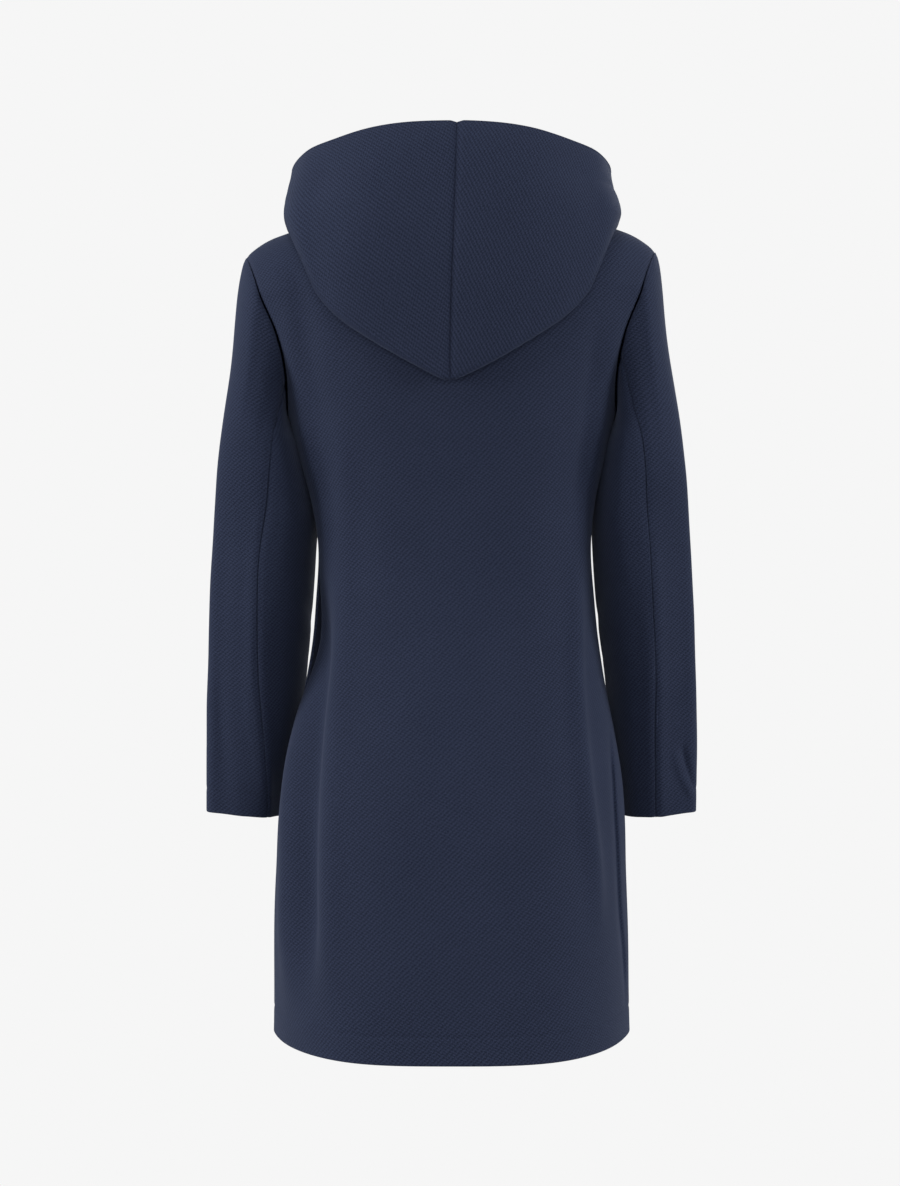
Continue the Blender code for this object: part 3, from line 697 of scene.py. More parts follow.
# Folds by distance from the middle across, and by height.
BACK_FOLDS = [
    (0.0038, 0.012, 0.12, [(-0.19, 0.114), (-0.354, 0.108), (-0.48, 0.113), (-0.606, 0.121),
        (-0.732, 0.1225), (-0.84, 0.118)]),
    (-0.0125, 0.012, 0.12, [(-0.36, 0.1355), (-0.48, 0.1385), (-0.543, 0.143), (-0.606, 0.1465),
        (-0.7, 0.1475), (-0.84, 0.142)]),
    (0.01, 0.011, 0.12, [(-0.47, 0.15), (-0.543, 0.155), (-0.606, 0.163), (-0.7, 0.165),
        (-0.85, 0.166)]),
    (0.0076, 0.0088, 0.1, [(-0.36, -0.1265), (-0.4175, -0.127), (-0.48, -0.1255), (-0.543, -0.1285),
        (-0.606, -0.1335), (-0.69, -0.1425), (-0.77, -0.15)]),
    (0.0026, 0.009, 0.05, [(-0.1, 0.17), (-0.228, 0.154), (-0.32, 0.138)]),
    (-0.0036, 0.014, 0.05, [(-0.05, 0.162), (-0.15, 0.148), (-0.26, 0.134)]),
    (0.002, 0.008, 0.05, [(-0.11, -0.17), (-0.228, -0.155), (-0.32, -0.14)]),
    (-0.0034, 0.009, 0.07, [(-0.115, -0.148), (-0.228, -0.139), (-0.35, -0.13)]),
    (-0.0012, 0.022, 0.18, [(-0.34, 0.078), (-0.55, 0.084), (-0.84, 0.088)]),
    (0.0014, 0.034, 0.22, [(-0.42, 0.03), (-0.6, 0.038), (-0.868, 0.052)]),
    (-0.0014, 0.03, 0.18, [(-0.46, -0.04), (-0.64, -0.03), (-0.868, -0.022)]),
    (0.0012, 0.03, 0.2, [(-0.52, -0.085), (-0.69, -0.098), (-0.868, -0.105)]),
]
SIDE_LINE = [
    (-0.01, 0.0026, 0.06, [(-0.535, -0.1637), (-0.6, -0.1657), (-0.681, -0.1697), (-0.742, -0.1728),
        (-0.789, -0.1774), (-0.85, -0.181)]),
]

# Rises of the rows, which lie closer at the hem and towards the shoulder seam.
skirt = np.linspace(0, 1, 131)[:-1]
hem_rows = np.linspace(0.002, 0.056, 27)
arm = np.linspace(1, 2, 29)[:-1]
over_shoulder = 2 + np.sin(np.linspace(0, np.pi / 2, 30)) ** TOP_CROWD
RISES = np.concatenate([skirt[:1], hem_rows, skirt[skirt > 0.06], arm, over_shoulder])


def shares(count):
    """Shares of the half width from one side to the other, close at the sides."""
    t = 2 * crowded(count) - 1
    return np.sign(t) * (1 - (1 - np.abs(t)) ** SIDE_CROWD)


def hemmed(grid, seams, line, depth, width):
    """Cloth with a faint line where its hem is caught, with its edges sunk where seams
    run, and with the hem turned up."""
    cloth = sunk([grid, facing(grid)], BOTTOM, depth, LINE_SOFT, line)
    for edge in seams:
        cloth = sunk(cloth, edge, SEAM_SINK, SEAM_SOFT)
    return turned(cloth, BOTTOM, HEM_ROLL, 180.0, turn_in=width)


x = -shares(BACK_COLUMNS)[:, None] * side_edge(RISES, BACK)[None, :]
grid = leaned(panel_point(x, RISES[None, :], BACK))
grid = folded(grid, grid[..., 0], grid[..., 2], BACK_FOLDS)
grid = folded(grid, grid[..., 0], grid[..., 2], SIDE_LINE, way=(0, 1, 0))
cloth = hemmed(uneven(grid, TRUNK_WAVE, seed=11), (START, END, TOP), *HEM_TURN)
for edge in (TOP, START, END):
    cloth = turned(cloth, edge, SEAM_ROLL, *TUCK)
back_cloth = made_up("back", cloth, TWILL_TURN)

# %% [markdown]
# ## The fronts
#
# Each front runs from its side seam past the middle, and the wearer's right one lies
# on top. Where the left one passes beneath, it steps in by the thickness of the upper
# edge, and a little further near the hem, where the upper one is folded double. The
# front edges come back inside as a narrow facing.

# %% Front panels
UNDERLAP_DROP, HEM_DROP = 0.0034, 0.0026
UNDERLAP_EDGE, UNDERLAP_END = 0.037, 0.049
HEM_STEP, STEP_FADE = -0.78, 0.06        # where the drop for the folded hem starts
ARM_FADE = 0.02                  # height over which a side seam becomes an armhole seam
FACING_ROLL, FACING_WIDTH = 0.0012, 0.020
LEFT_SWELLS = [
    (0.0028, 0.017, 0.12, [(-0.26, 0.127), (-0.36, 0.123), (-0.47, 0.125), (-0.59, 0.14),
        (-0.72, 0.148), (-0.85, 0.15)]),
    (-0.002, 0.016, 0.16, [(-0.33, 0.112), (-0.47, 0.112), (-0.63, 0.116), (-0.868, 0.118)]),
    (0.0018, 0.026, 0.16, [(-0.45, 0.064), (-0.62, 0.072), (-0.868, 0.082)]),
    (-0.0012, 0.008, 0.03, [(-0.225, 0.142), (-0.248, 0.118), (-0.265, 0.1)]),
]
RIGHT_SWELLS = [
    (0.0024, 0.02, 0.14, [(-0.27, -0.123), (-0.39, -0.121), (-0.52, -0.133), (-0.68, -0.15),
        (-0.83, -0.154)]),
    (-0.0018, 0.016, 0.15, [(-0.36, -0.11), (-0.52, -0.112), (-0.868, -0.116)]),
    (0.0016, 0.03, 0.18, [(-0.49, -0.052), (-0.7, -0.064), (-0.868, -0.07)]),
    (-0.0014, 0.007, 0.05, [(-0.63, -0.164), (-0.72, -0.168), (-0.82, -0.17)]),
]


def underlap(x, z):
    """How far in the left front lies where it passes beneath the right one."""
    drop = UNDERLAP_DROP + HEM_DROP * ease((HEM_STEP - z) / STEP_FADE)
    return -drop * ease((UNDERLAP_END - x) / (UNDERLAP_END - UNDERLAP_EDGE))


def build_front(side, swells, seed):
    """Grid of a front, turned at its hem, seams and front edge, and made up."""
    share = 1 - (1 - crowded(FRONT_COLUMNS)[:, None]) ** SIDE_CROWD
    x = -OVERLAP + (side_edge(RISES, FRONT)[None, :] + OVERLAP) * share
    height = wall_height(RISES)[None, :] + 0 * x
    inwards = underlap(x, height) if side == LEFT else 0.0
    grid = leaned(panel_point(side * x, RISES[None, :] + 0 * x, FRONT, inwards))
    grid = grid if side == LEFT else grid[::-1]
    opening, seam = (START, END) if side == LEFT else (END, START)
    grid = folded(grid, grid[..., 0], grid[..., 2], swells)
    cloth = hemmed(uneven(grid, TRUNK_WAVE, seed), (seam, TOP), *HEM_TURN)
    cloth = turned(cloth, TOP, SEAM_ROLL, *CURL)
    at_arm = ease((cloth[0][grid.shape[0] // 2, :, 2] - ARMPIT) / ARM_FADE)
    sweep, tail = (low + (high - low) * at_arm for low, high in zip(CURL, TUCK))
    cloth = turned(cloth, seam, SEAM_ROLL, sweep, tail)
    cloth = turned(cloth, opening, FACING_ROLL, 180.0, turn_in=FACING_WIDTH)
    return made_up("front_" + SIDE_NAME[side], cloth, TWILL_TURN)


front_left_cloth = build_front(LEFT, LEFT_SWELLS, seed=12)
front_right_cloth = build_front(RIGHT, RIGHT_SWELLS, seed=13)

# %% [markdown]
# ## The sleeves
#
# A tailored sleeve has two pieces, a wide top sleeve and a narrow under sleeve, which
# lets it bend forward at the elbow. Each is a stretch of one tube that starts at the
# armhole seam and ends at the cuff. The tube is a stack of rings, and a smooth curve
# leads from ring to ring. The cloth swells a little over the crown, stands out in a
# soft ridge along the seam behind, and drags in shallow creases at the elbow, on the
# inside of the bend. Across the right cuff a fold and a trough lie side by side.

# %% Sleeve form
ARM_SEAM, LONG_SEAM_GAP = 0.0009, 0.0010
SLEEVE_SKEW, SLEEVE_EASE, SLEEVE_TILT, ARM_TURN = 0.028, 0.8, 0.004, 1.556
CORNER = 0.72                    # power that squares the inner corner behind, below 1
SEAM_RISE = {LEFT: 1.24, RIGHT: 1.45}
FRONT_SEAM_RISE = 1.15

SLEEVE = table("height outer inner_left inner_right back front", [
    (-0.645, 0.2596, 0.1795, 0.1805, -0.004, -0.106),
    (-0.600, 0.2594, 0.1715, 0.1760, 0.006, -0.100),
    (-0.550, 0.2583, 0.1625, 0.1690, 0.016, -0.093),
    (-0.500, 0.2562, 0.1572, 0.1658, 0.028, -0.086),
    (-0.440, 0.2530, 0.1508, 0.1582, 0.040, -0.080),
    (-0.375, 0.2491, 0.1456, 0.1520, 0.052, -0.076),
    (-0.315, 0.2447, 0.1430, 0.1495, 0.062, -0.075),
    (-0.260, 0.2395, 0.1548, 0.1552, 0.070, -0.074),
])
SLEEVE_HEAD = table("share crown_left crown_right", [
    (0.12, 0.0025, 0.0020),
    (0.30, 0.0020, 0.0002),
    (0.62, -0.0005, -0.0012),
])
SLEEVE_SEAMS = table("height back_left back_right front", [
    (-0.645, 120.0, 93.7, 236.0),
    (-0.560, 101.0, 91.0, 236.0),
    (-0.500, 93.7, 89.0, 236.0),
    (-0.420, 90.2, 86.0, 236.0),
    (-0.300, 94.4, 88.0, 234.0),
    (-0.225, 110.5, 93.1, 228.0),
])


def rise_turn(rise):
    """Turn round the sleeve, in degrees, that meets the armhole at a rise."""
    return np.degrees(np.arccos(2 * ((rise - 1) / 2) ** (1 / ARM_TURN) - 1))


def turn_rise(turn):
    """The other way: the rise that a turn meets."""
    return 1 + 2 * ((1 + np.cos(np.radians(turn))) / 2) ** ARM_TURN


def seam_turns(side):
    """Turns at which the seam behind and the seam in front start from the armhole."""
    return rise_turn(SEAM_RISE[side]), 360 - rise_turn(FRONT_SEAM_RISE)


def armhole(side, turns):
    """Edge of the trunk panels beside the sleeve, at turns from -180 to 360."""
    front = np.mod(turns, 360) > 180
    rise = np.clip(turn_rise(turns), 1, 3)
    behind = leaned(panel_point(side * side_edge(rise, BACK), rise, BACK))
    before = leaned(panel_point(side * side_edge(rise, FRONT), rise, FRONT))
    return np.where(front[:, None], before, behind)


def sleeve_rings(side, turns):
    """Rings of one sleeve from its armhole to its cuff. Each tube ring is an ellipse
    between its four reaches, squarer at the inner corner behind, where the cosine is
    raised to a power, and its inner side stands forward and hangs lower."""
    edge = armhole(side, turns)
    edge[:, 0] += side * ARM_SEAM
    own = SIDE_NAME[side]
    back_turn, front_turn = seam_turns(side)
    tube = []
    for row in SLEEVE[::-1]:
        inner = row["inner_" + own]
        seams = [through(SLEEVE_SEAMS, c, row["height"]) for c in ("back_" + own, "front")]
        warped = np.interp(np.mod(turns, 360), (0, back_turn, front_turn, 360), (0, *seams, 360))
        angle = np.radians(warped)
        inside_back = (np.cos(angle) < 0) & (np.sin(angle) > 0)
        level = np.cos(angle) * np.where(inside_back, np.abs(np.cos(angle)) ** (CORNER - 1), 1.0)
        x = (row["outer"] + inner + (row["outer"] - inner) * level) / 2
        y = (row["back"] + row["front"] + (row["back"] - row["front"]) * np.sin(angle)) / 2
        y = y + SLEEVE_SKEW * np.cos(angle) * (1 - SLEEVE_EASE * np.sin(angle) ** 2)
        z = row["height"] + SLEEVE_TILT * np.cos(angle)
        tube.append(np.stack([side * x, y, z], axis=-1))
    top = (1 + np.cos(np.radians(turns))) / 2
    head = []
    for row in SLEEVE_HEAD:
        ring = edge * (1 - row["share"]) + tube[0] * row["share"]
        ring[:, 0] += side * row["crown_" + own] * top**2
        head.append(ring)
    return np.array([edge, *head, *tube])


def smooth_rings(rings, steps):
    """Rings between the given ones, on cubics through them."""
    slopes = np.gradient(rings, axis=0)
    i = np.clip(steps.astype(int), 0, len(rings) - 2)
    t = (steps - i)[:, None, None]
    return cubic(t, rings[i], rings[i + 1], slopes[i], slopes[i + 1])


# %% Sleeve pieces
CUFF_TURN = (0.026, 0.0004, 0.030)       # its line's place and depth, and its width
SLEEVE_LEVELS, SLEEVE_ROWS, SLEEVE_COLUMNS = 16, 145, {"top": 75, "under": 45}
SLEEVE_CROWD, SLEEVE_WAVE = 0.75, 0.08   # crowding of the rows, size of the unevenness
SEAM_RIDGE, RIDGE_FADE = 0.0052, 0.09    # how far the cloth stands out along the seam behind
RIDGE_ENDS, RIDGE_WIDTH = (-0.69, -0.3), {"top": 16.0, "under": 9.0}
# Folds by turn in degrees across (a degree is about 0.8 mm) and by height.
TOP_FOLDS_LEFT = [
    (0.001, 14.0, 0.1, [(-0.18, 22.0), (-0.3, 26.0), (-0.42, 20.0), (-0.52, 14.0)]),
    (-0.003, 26.0, 0.1, [(-0.29, 58.0), (-0.48, 58.0), (-0.7, 56.0)]),
    (-0.0016, 12.0, 0.03, [(-0.395, -60.0), (-0.425, -88.0), (-0.455, -118.0)]),
    (-0.0013, 10.0, 0.03, [(-0.44, -52.0), (-0.47, -84.0), (-0.49, -112.0)]),
    (0.0014, 16.0, 0.08, [(-0.43, -30.0), (-0.56, -40.0), (-0.64, -44.0)]),
    (-0.0012, 14.0, 0.08, [(-0.47, 52.0), (-0.56, 60.0), (-0.64, 66.0)]),
]
TOP_FOLDS_RIGHT = [
    (0.001, 13.0, 0.1, [(-0.18, 20.0), (-0.3, 26.0), (-0.44, 20.0), (-0.56, 16.0)]),
    (-0.0028, 24.0, 0.1, [(-0.29, 54.0), (-0.48, 54.0), (-0.7, 52.0)]),
    (-0.0015, 12.0, 0.03, [(-0.385, -58.0), (-0.42, -90.0), (-0.45, -116.0)]),
    (-0.0012, 10.0, 0.03, [(-0.43, -50.0), (-0.455, -80.0), (-0.48, -108.0)]),
    (-0.003, 7.0, 0.02, [(-0.562, 62.0), (-0.592, 46.0), (-0.625, 12.0)]),
    (0.002, 8.0, 0.02, [(-0.568, 78.0), (-0.6, 62.0), (-0.632, 30.0)]),
]
UNDER_FOLDS = [
    (0.0014, 18.0, 0.05, [(-0.21, 168.0), (-0.27, 166.0), (-0.35, 162.0)]),
    (-0.0015, 12.0, 0.03, [(-0.4, 150.0), (-0.43, 178.0), (-0.455, 205.0)]),
    (-0.0012, 10.0, 0.03, [(-0.445, 145.0), (-0.47, 170.0), (-0.49, 196.0)]),
    (0.0012, 18.0, 0.08, [(-0.3, 160.0), (-0.42, 170.0), (-0.6, 175.0)]),
]


def build_sleeve(side, part, folds, grain, seed):
    """One piece of a sleeve: its stretch of the tube, folded, turned and made up."""
    back_turn, front_turn = seam_turns(side)
    first, last = (front_turn - 360, back_turn) if part == "top" else (back_turn, front_turn)
    turns = first + (last - first) * crowded(SLEEVE_COLUMNS[part])
    rings = sleeve_rings(side, turns)
    rings = smooth_rings(rings, np.linspace(0, len(rings) - 1, SLEEVE_LEVELS))
    grid = smooth_rings(rings, (SLEEVE_LEVELS - 1) * (1 - crowded(SLEEVE_ROWS, SLEEVE_CROWD)))
    grid = np.swapaxes(grid, 0, 1)
    across = turns[:, None] + 0 * grid[..., 0]
    if side == RIGHT:
        grid, across = grid[::-1], across[::-1]
    ridge = (SEAM_RIDGE, RIDGE_WIDTH[part], RIDGE_FADE, [(z, back_turn) for z in RIDGE_ENDS])
    grid = folded(grid, across, grid[..., 2], [*folds, ridge])
    cloth = hemmed(uneven(grid, SLEEVE_WAVE, seed), (START, END, TOP), *CUFF_TURN)
    cloth = turned(cloth, TOP, SEAM_ROLL, 90.0)
    roll = CURL if part == "top" else TUCK
    for edge in (START, END):
        cloth = turned(cloth, edge, SEAM_ROLL, *roll, draw_in=LONG_SEAM_GAP / 2)
    return made_up(f"sleeve_{part}_{SIDE_NAME[side]}", cloth, grain)


top_left = build_sleeve(LEFT, "top", TOP_FOLDS_LEFT, grain=40.0, seed=21)
under_left = build_sleeve(LEFT, "under", UNDER_FOLDS, grain=42.0, seed=22)
top_right = build_sleeve(RIGHT, "top", TOP_FOLDS_RIGHT, grain=43.0, seed=23)
under_right = build_sleeve(RIGHT, "under", UNDER_FOLDS, grain=42.0, seed=24)

# %% [markdown]
# ## The hood
#
# The hood is two half shells, joined by a seam down the middle. Lying back, each half
# starts at the neckline, runs out over the shoulders as an under layer, rolls round a
# fold and comes up again as the outer layer, which ends in the rim. So a line from
# neck to rim is drawn for each direction round the neck: a stretch over the trunk, half
# a circle for the fold, and a curve with two handles for the outer layer. The rim is
# turned in and has a pressed line 3 mm from its edge. The middle seam sinks in, as a
# seam in thick cloth does, and is not quite plumb.

# %% Hood form
HOOD = table("angle rim_x rim_y rim_z fold_x fold_over swell_top drop_top swell_low rise_low", [
    (0, 0.000, 0.1250, 0.0598, 0.000, -0.940, 0.040, 0.055, 0.020, 0.080),
    (3, 0.008, 0.1248, 0.0598, 0.007, -0.914, 0.040, 0.055, 0.020, 0.080),
    (9, 0.024, 0.1240, 0.0595, 0.023, -0.838, 0.039, 0.055, 0.020, 0.078),
    (30, 0.076, 0.1130, 0.0558, 0.084, -0.480, 0.034, 0.050, 0.020, 0.065),
    (50, 0.118, 0.0900, 0.0480, 0.129, -0.100, 0.024, 0.045, 0.018, 0.050),
    (70, 0.148, 0.0600, 0.0415, 0.158, 0.450, 0.014, 0.035, 0.014, 0.034),
    (90, 0.165, 0.0100, 0.0320, 0.169, 1.000, 0.004, 0.022, 0.009, 0.020),
    (120, 0.147, -0.0580, 0.0040, 0.146, 1.560, 0.008, 0.016, 0.012, 0.016),
    (150, 0.089, -0.1040, -0.0340, 0.090, 1.780, 0.006, 0.012, 0.010, 0.012),
    (180, 0.000, -0.1250, -0.0500, 0.000, 1.900, 0.004, 0.008, 0.008, 0.008),
])
HOOD_LAY, NECK_LAY, HOOD_ROLL = 0.0046, 0.0019, 0.0055
LAY_DROP, ROLL_DROP = 0.0020, 0.0022     # flatter where the fold rests on a shoulder
OVER_SHOULDER = (35, 25, 135, 20)        # start, rise, end and fall of where it does
RIM_RISE, HOOD_SEAM, HOOD_END = 0.020, 0.0009, 172.0


def hood_profiles(degrees, side, outer_steps, fold_steps, under_steps):
    """Lines down the hood, one for each direction. The fold is part of a circle, which
    starts where its own direction is that of the outer layer. The outer layer is the
    cubic (1-t)^3 rim + 3 (1-t)^2 t top + 3 (1-t) t^2 low + t^3 start of the fold, and
    the under layer a straight way over the trunk."""
    angles = np.radians(degrees)

    def column(name):
        return through(HOOD, name, degrees, level_start=not name.endswith("_x"))

    rim_z = column("rim_z") + side * RIM_RISE * column("rim_x")
    rim = np.stack([column("rim_x"), column("rim_y"), rim_z], axis=-1)
    fold_x, fold_over = column("fold_x"), column("fold_over")
    aside = window(degrees, *OVER_SHOULDER)
    lay, roll = HOOD_LAY - LAY_DROP * aside, HOOD_ROLL - ROLL_DROP * aside
    near, far = torso(fold_x, fold_over, lay), torso(fold_x, fold_over, lay + 2 * roll)
    radius = np.linalg.norm(far - near, axis=-1)[:, None] / 2
    out = (far - near) / (2 * radius)
    neck_x = NECK_HALF * np.sin(angles)
    back = angles <= np.pi / 2
    neck_over = np.where(back, neck_rise(neck_x, BACK), 2 - neck_rise(neck_x, FRONT))
    share = under_steps[1:]
    x = fold_x[:, None] + (neck_x - fold_x)[:, None] * share
    over = fold_over[:, None] + (neck_over - fold_over)[:, None] * share
    under = torso(x, over, lay[:, None] + (NECK_LAY - lay)[:, None] * share**4)

    outwards = np.stack([np.sin(angles), np.cos(angles), np.zeros_like(angles)], axis=-1)
    up = np.array([0, 0, 1.0])
    top = rim + outwards * column("swell_top")[:, None] - up * column("drop_top")[:, None]
    handle = outwards * column("swell_low")[:, None] + up * column("rise_low")[:, None]

    away = near - under[:, 0]
    away = square_to(out, away)
    meet = np.arctan2((handle * out).sum(-1), -(handle * away).sum(-1))
    meet = np.clip(meet, 0, np.pi / 2)[:, None]
    turn = (meet + (np.pi - meet) * fold_steps)[..., None]
    swing = out[:, None] * np.cos(turn) + away[:, None] * np.sin(turn)
    fold = (near + far)[:, None] / 2 + radius[:, None] * swing

    t = outer_steps[None, :-1, None]
    outer = (1 - t)**3 * rim[:, None] + 3 * (1 - t)**2 * t * top[:, None]
    outer = outer + 3 * (1 - t) * t**2 * (fold[:, :1] + handle[:, None]) + t**3 * fold[:, :1]
    return np.concatenate([outer, fold, under], axis=1)


# %% Hood pieces
RIM_ROLL, RIM_WIDTH, RIM_LINE, RIM_SINK, RIM_SOFT = 0.0014, 0.028, 0.0034, 0.0007, 0.0013
MIDDLE_SINK, MIDDLE_SOFT = 0.0025, 0.0038
NECK_TURN, FRONT_TURN = (0.0008, 90.0), (0.0009, 150.0)      # radius and sweep of two edges
HOOD_COLUMNS, OUTER_STEPS, FOLD_STEPS, UNDER_STEPS = 85, 47, 15, 27
HOOD_CROWD, RIM_CROWD = 0.6, 1.35        # crowding of lines at both ends, rows at the rim
LOOSE_ROWS = 26.0                # rows over which the hood comes free of the neckline
HOOD_WAVE = 0.07                 # size of the unevenness on the hood
# Folds by direction round the neck, and by the share of the way up the outer layer.
HOOD_FOLDS = {
    LEFT: [(0.0016, 9.0, 0.3, [(0.1, 36.0), (0.5, 30.0), (0.95, 24.0)]),
           (-0.0015, 8.0, 0.25, [(0.05, 56.0), (0.5, 52.0), (0.9, 50.0)])],
    RIGHT: [(0.0014, 9.0, 0.3, [(0.1, 34.0), (0.5, 28.0), (0.95, 24.0)]),
            (-0.0012, 8.0, 0.25, [(0.15, 72.0), (0.5, 70.0), (0.85, 66.0)])],
}
# Heights, and how far the middle seam and each half lean there.
SEAM_LEAN = ((-0.18, -0.14, -0.07, -0.01, 0.06), (-0.0012, -0.0010, 0.0025, 0.0044, 0.0064))
SEAM_REACH = 26.0                # degrees beside the middle over which its lean fades
WING = (20, 30, 140, 40)         # start, rise, end and fall of where a half sways
WING_LEAN = {
    LEFT: ((-0.025, -0.008, 0.005, 0.022, 0.032, 0.045),
           (0.0005, 0.0026, 0.0026, 0.0008, -0.0006, 0.0010)),
    RIGHT: ((-0.020, -0.008, 0.008, 0.022, 0.034),
            (0.0036, 0.0010, -0.0014, 0.0012, 0.0036)),
}


def hood_sway(side, degrees, height):
    """How far a hood half leans to the coat's right. Its middle seam is not quite plumb,
    and over the shoulders each half bulges and draws in a little with the height."""
    seam = np.interp(height, *SEAM_LEAN) * bell(degrees, SEAM_REACH)
    return seam + np.interp(height, *WING_LEAN[side]) * window(degrees, *WING)


def build_hood(side, grain, seed):
    """Half of the hood as a grid from neckline to rim, turned and made up."""
    degrees = HOOD_END * crowded(HOOD_COLUMNS, HOOD_CROWD)
    outer_steps = np.linspace(0, 1, OUTER_STEPS) ** RIM_CROWD
    fold_steps, under_steps = np.linspace(0, 1, FOLD_STEPS), np.linspace(0, 1, UNDER_STEPS)
    grid = hood_profiles(degrees, side, outer_steps, fold_steps, under_steps)
    grid[..., 0] = side * (grid[..., 0] + HOOD_SEAM / 4)
    grid = leaned(grid)[:, ::-1]
    loose = ease(np.arange(grid.shape[1]) / LOOSE_ROWS)
    grid[..., 0] -= hood_sway(side, degrees[:, None], grid[..., 2]) * loose
    across = degrees[:, None] + 0 * grid[..., 0]
    up = np.concatenate([np.zeros(grid.shape[1] - OUTER_STEPS), 1 - outer_steps[::-1]])
    up = up[None, :] + 0 * across
    if side == LEFT:
        grid, across, up = grid[::-1], across[::-1], up[::-1]
    grid = uneven(folded(grid, across, up, HOOD_FOLDS[side]), HOOD_WAVE, seed)
    middle, front = (END, START) if side == LEFT else (START, END)
    cloth = sunk([grid, facing(grid)], TOP, RIM_SINK, RIM_SOFT, RIM_LINE)
    cloth = sunk(cloth, middle, MIDDLE_SINK, MIDDLE_SOFT)
    cloth = turned(cloth, TOP, RIM_ROLL, 180.0, turn_in=RIM_WIDTH)
    cloth = turned(cloth, BOTTOM, *NECK_TURN)
    cloth = turned(cloth, middle, SEAM_ROLL, *(CURL if side == LEFT else TUCK))
    cloth = turned(cloth, front, *FRONT_TURN)
    rolled = ARC_ROWS + len(TAIL_ROWS)
    seam = rolled if side == RIGHT else len(cloth[0]) - 1 - rolled
    return made_up("hood_" + SIDE_NAME[side], cloth, grain, seam)


hood_left_cloth = build_hood(LEFT, grain=-36.0, seed=31)
hood_right_cloth = build_hood(RIGHT, grain=-62.0, seed=32)

# %% [markdown]
# ## The fastenings
#
# Three toggles close the front. On each side a leather tab holds a doubled cord: the
# wearer's right one ends in a loop, the left one carries the toggle on its waist. The
# tabs are cut from 2.2 mm leather, sewn down 2.8 mm inside the edge, and stand up a
# little over the cord ends that run in beneath them. A cord is laid from three strands,
# each one swept round the cord's route. The toggle is turned, so its profile is
# revolved.

# %% Fastening measures
CORD_RADIUS, TOUCH, CORD_REST, TAB_REST = 0.00175, 0.0004, 0.0013, 0.0014
TAB_START, TAB_WIDTH, TAB_HEIGHT, TAB_THICK = 0.056, 0.038, 0.034, 0.0022
TAB_CORNER = 0.16
LOOP_HALF = 0.0115
TOGGLE_LENGTH, TOGGLE_LIFT = 0.050, 0.0145
FASTENING_HEIGHTS = (-0.160, -0.290, -0.420)
TOGGLE = table("share radius", [
    (0.00, 0.00425),
    (0.12, 0.00435),
    (0.22, 0.00580),
    (0.40, 0.00650),
    (0.65, 0.00590),
    (0.88, 0.00430),
    (0.97, 0.00260),
])
WAIST = float(TOGGLE["radius"][0]) + CORD_RADIUS + 4 * TOUCH


def on_front(x, z, out):
    """Point at x and a height, standing out from the front of the trunk."""
    return leaned(torso(x, 2 + (YOKE - z) / WALL_UNIT, out))


# %% Sweeping and joining
def resampled(path, gap):
    """The path with a point at every gap along it."""
    run = running(np.linalg.norm(np.diff(path, axis=0), axis=-1))
    at = np.linspace(0, run[-1], int(round(run[-1] / gap)) + 1)
    return np.stack([np.interp(at, run, path[:, k]) for k in range(3)], axis=-1)


def rounded(path):
    """The path with its corners eased: three times, each inner point moves to a quarter
    of each neighbour and half of itself."""
    path = path.copy()
    for _ in range(3):
        path[1:-1] = (path[:-2] + 2 * path[1:-1] + path[2:]) / 4
    return path


def side_vectors(path):
    """Two crosswise vectors at each point, carried along the path without twist: each
    is the last one, less the part of it that lies along the new tangent."""
    ahead = unit(np.gradient(path, axis=0))
    side = unit(np.cross(ahead[0], (0.3, 0.5, 0.8)))
    sides = []
    for tangent in ahead:
        side = square_to(tangent, side)
        sides.append(side)
    return np.array(sides), np.cross(ahead, sides)


def swept(path, radius, count):
    """Round tube along a path: path + radius * (side cos a + cross sin a), with both
    ends closed. The radius may change along the path."""
    side, cross = (vectors[:, None] for vectors in side_vectors(path))
    angle = np.linspace(0, 2 * np.pi, count + 1)[:-1, None]
    ring = side * np.cos(angle) + cross * np.sin(angle)
    points = path[:, None] + np.broadcast_to(radius, len(path))[:, None, None] * ring
    number = np.arange(len(path) * count).reshape(len(path), count)
    beside = np.roll(number, -1, axis=1)
    walls = np.stack([number[:-1], beside[:-1], beside[1:], number[1:]], axis=-1).reshape(-1, 4)
    ends = [number[0, ::-1].tolist(), number[-1].tolist()]
    return points.reshape(-1, 3), walls.tolist() + ends


def joined(name, bodies, finish, slot, *nodes):
    """One object from several bodies, each a pair of points and faces."""
    points, faces, start = [], [], 0
    for body_points, body_faces in bodies:
        points.append(body_points)
        faces += [[start + i for i in face] for face in body_faces]
        start += len(body_points)
    return tied(mesh_object(name, np.concatenate(points), faces, finish), slot, *nodes)


# %% Tabs and stitches
STITCH, STITCH_PITCH, STITCH_INSET, THREAD = 0.0028, 0.0040, 0.0028, 0.00045
THREAD_STEP, THREAD_SIDES, THREAD_END = 0.0004, 8, 0.96
TAB_STEPS, TAB_BEVEL, BEVEL_ANGLE = 49, 0.0007, 50
HUMP, HUMP_WIDTH, HUMP_END, HUMP_FADE = 0.0016, 0.0026, 0.012, 0.010     # over a cord end


def on_tab(side, across, up, height):
    """Point of a tab: across and up run from -1 to 1, and the corners are drawn in."""
    x = TAB_START + TAB_WIDTH / 2 * (1 + across * np.sqrt(1 - TAB_CORNER * up**2))
    z = height + TAB_HEIGHT / 2 * up * np.sqrt(1 - TAB_CORNER * across**2)
    strand = WAIST if side == LEFT else LOOP_HALF
    over_cord = bell(np.abs(z - height) - strand, HUMP_WIDTH)
    over_cord = over_cord * ease((HUMP_END - (x - TAB_START)) / HUMP_FADE)
    return on_front(side * x, z, TAB_REST + TAB_THICK + HUMP * over_cord)


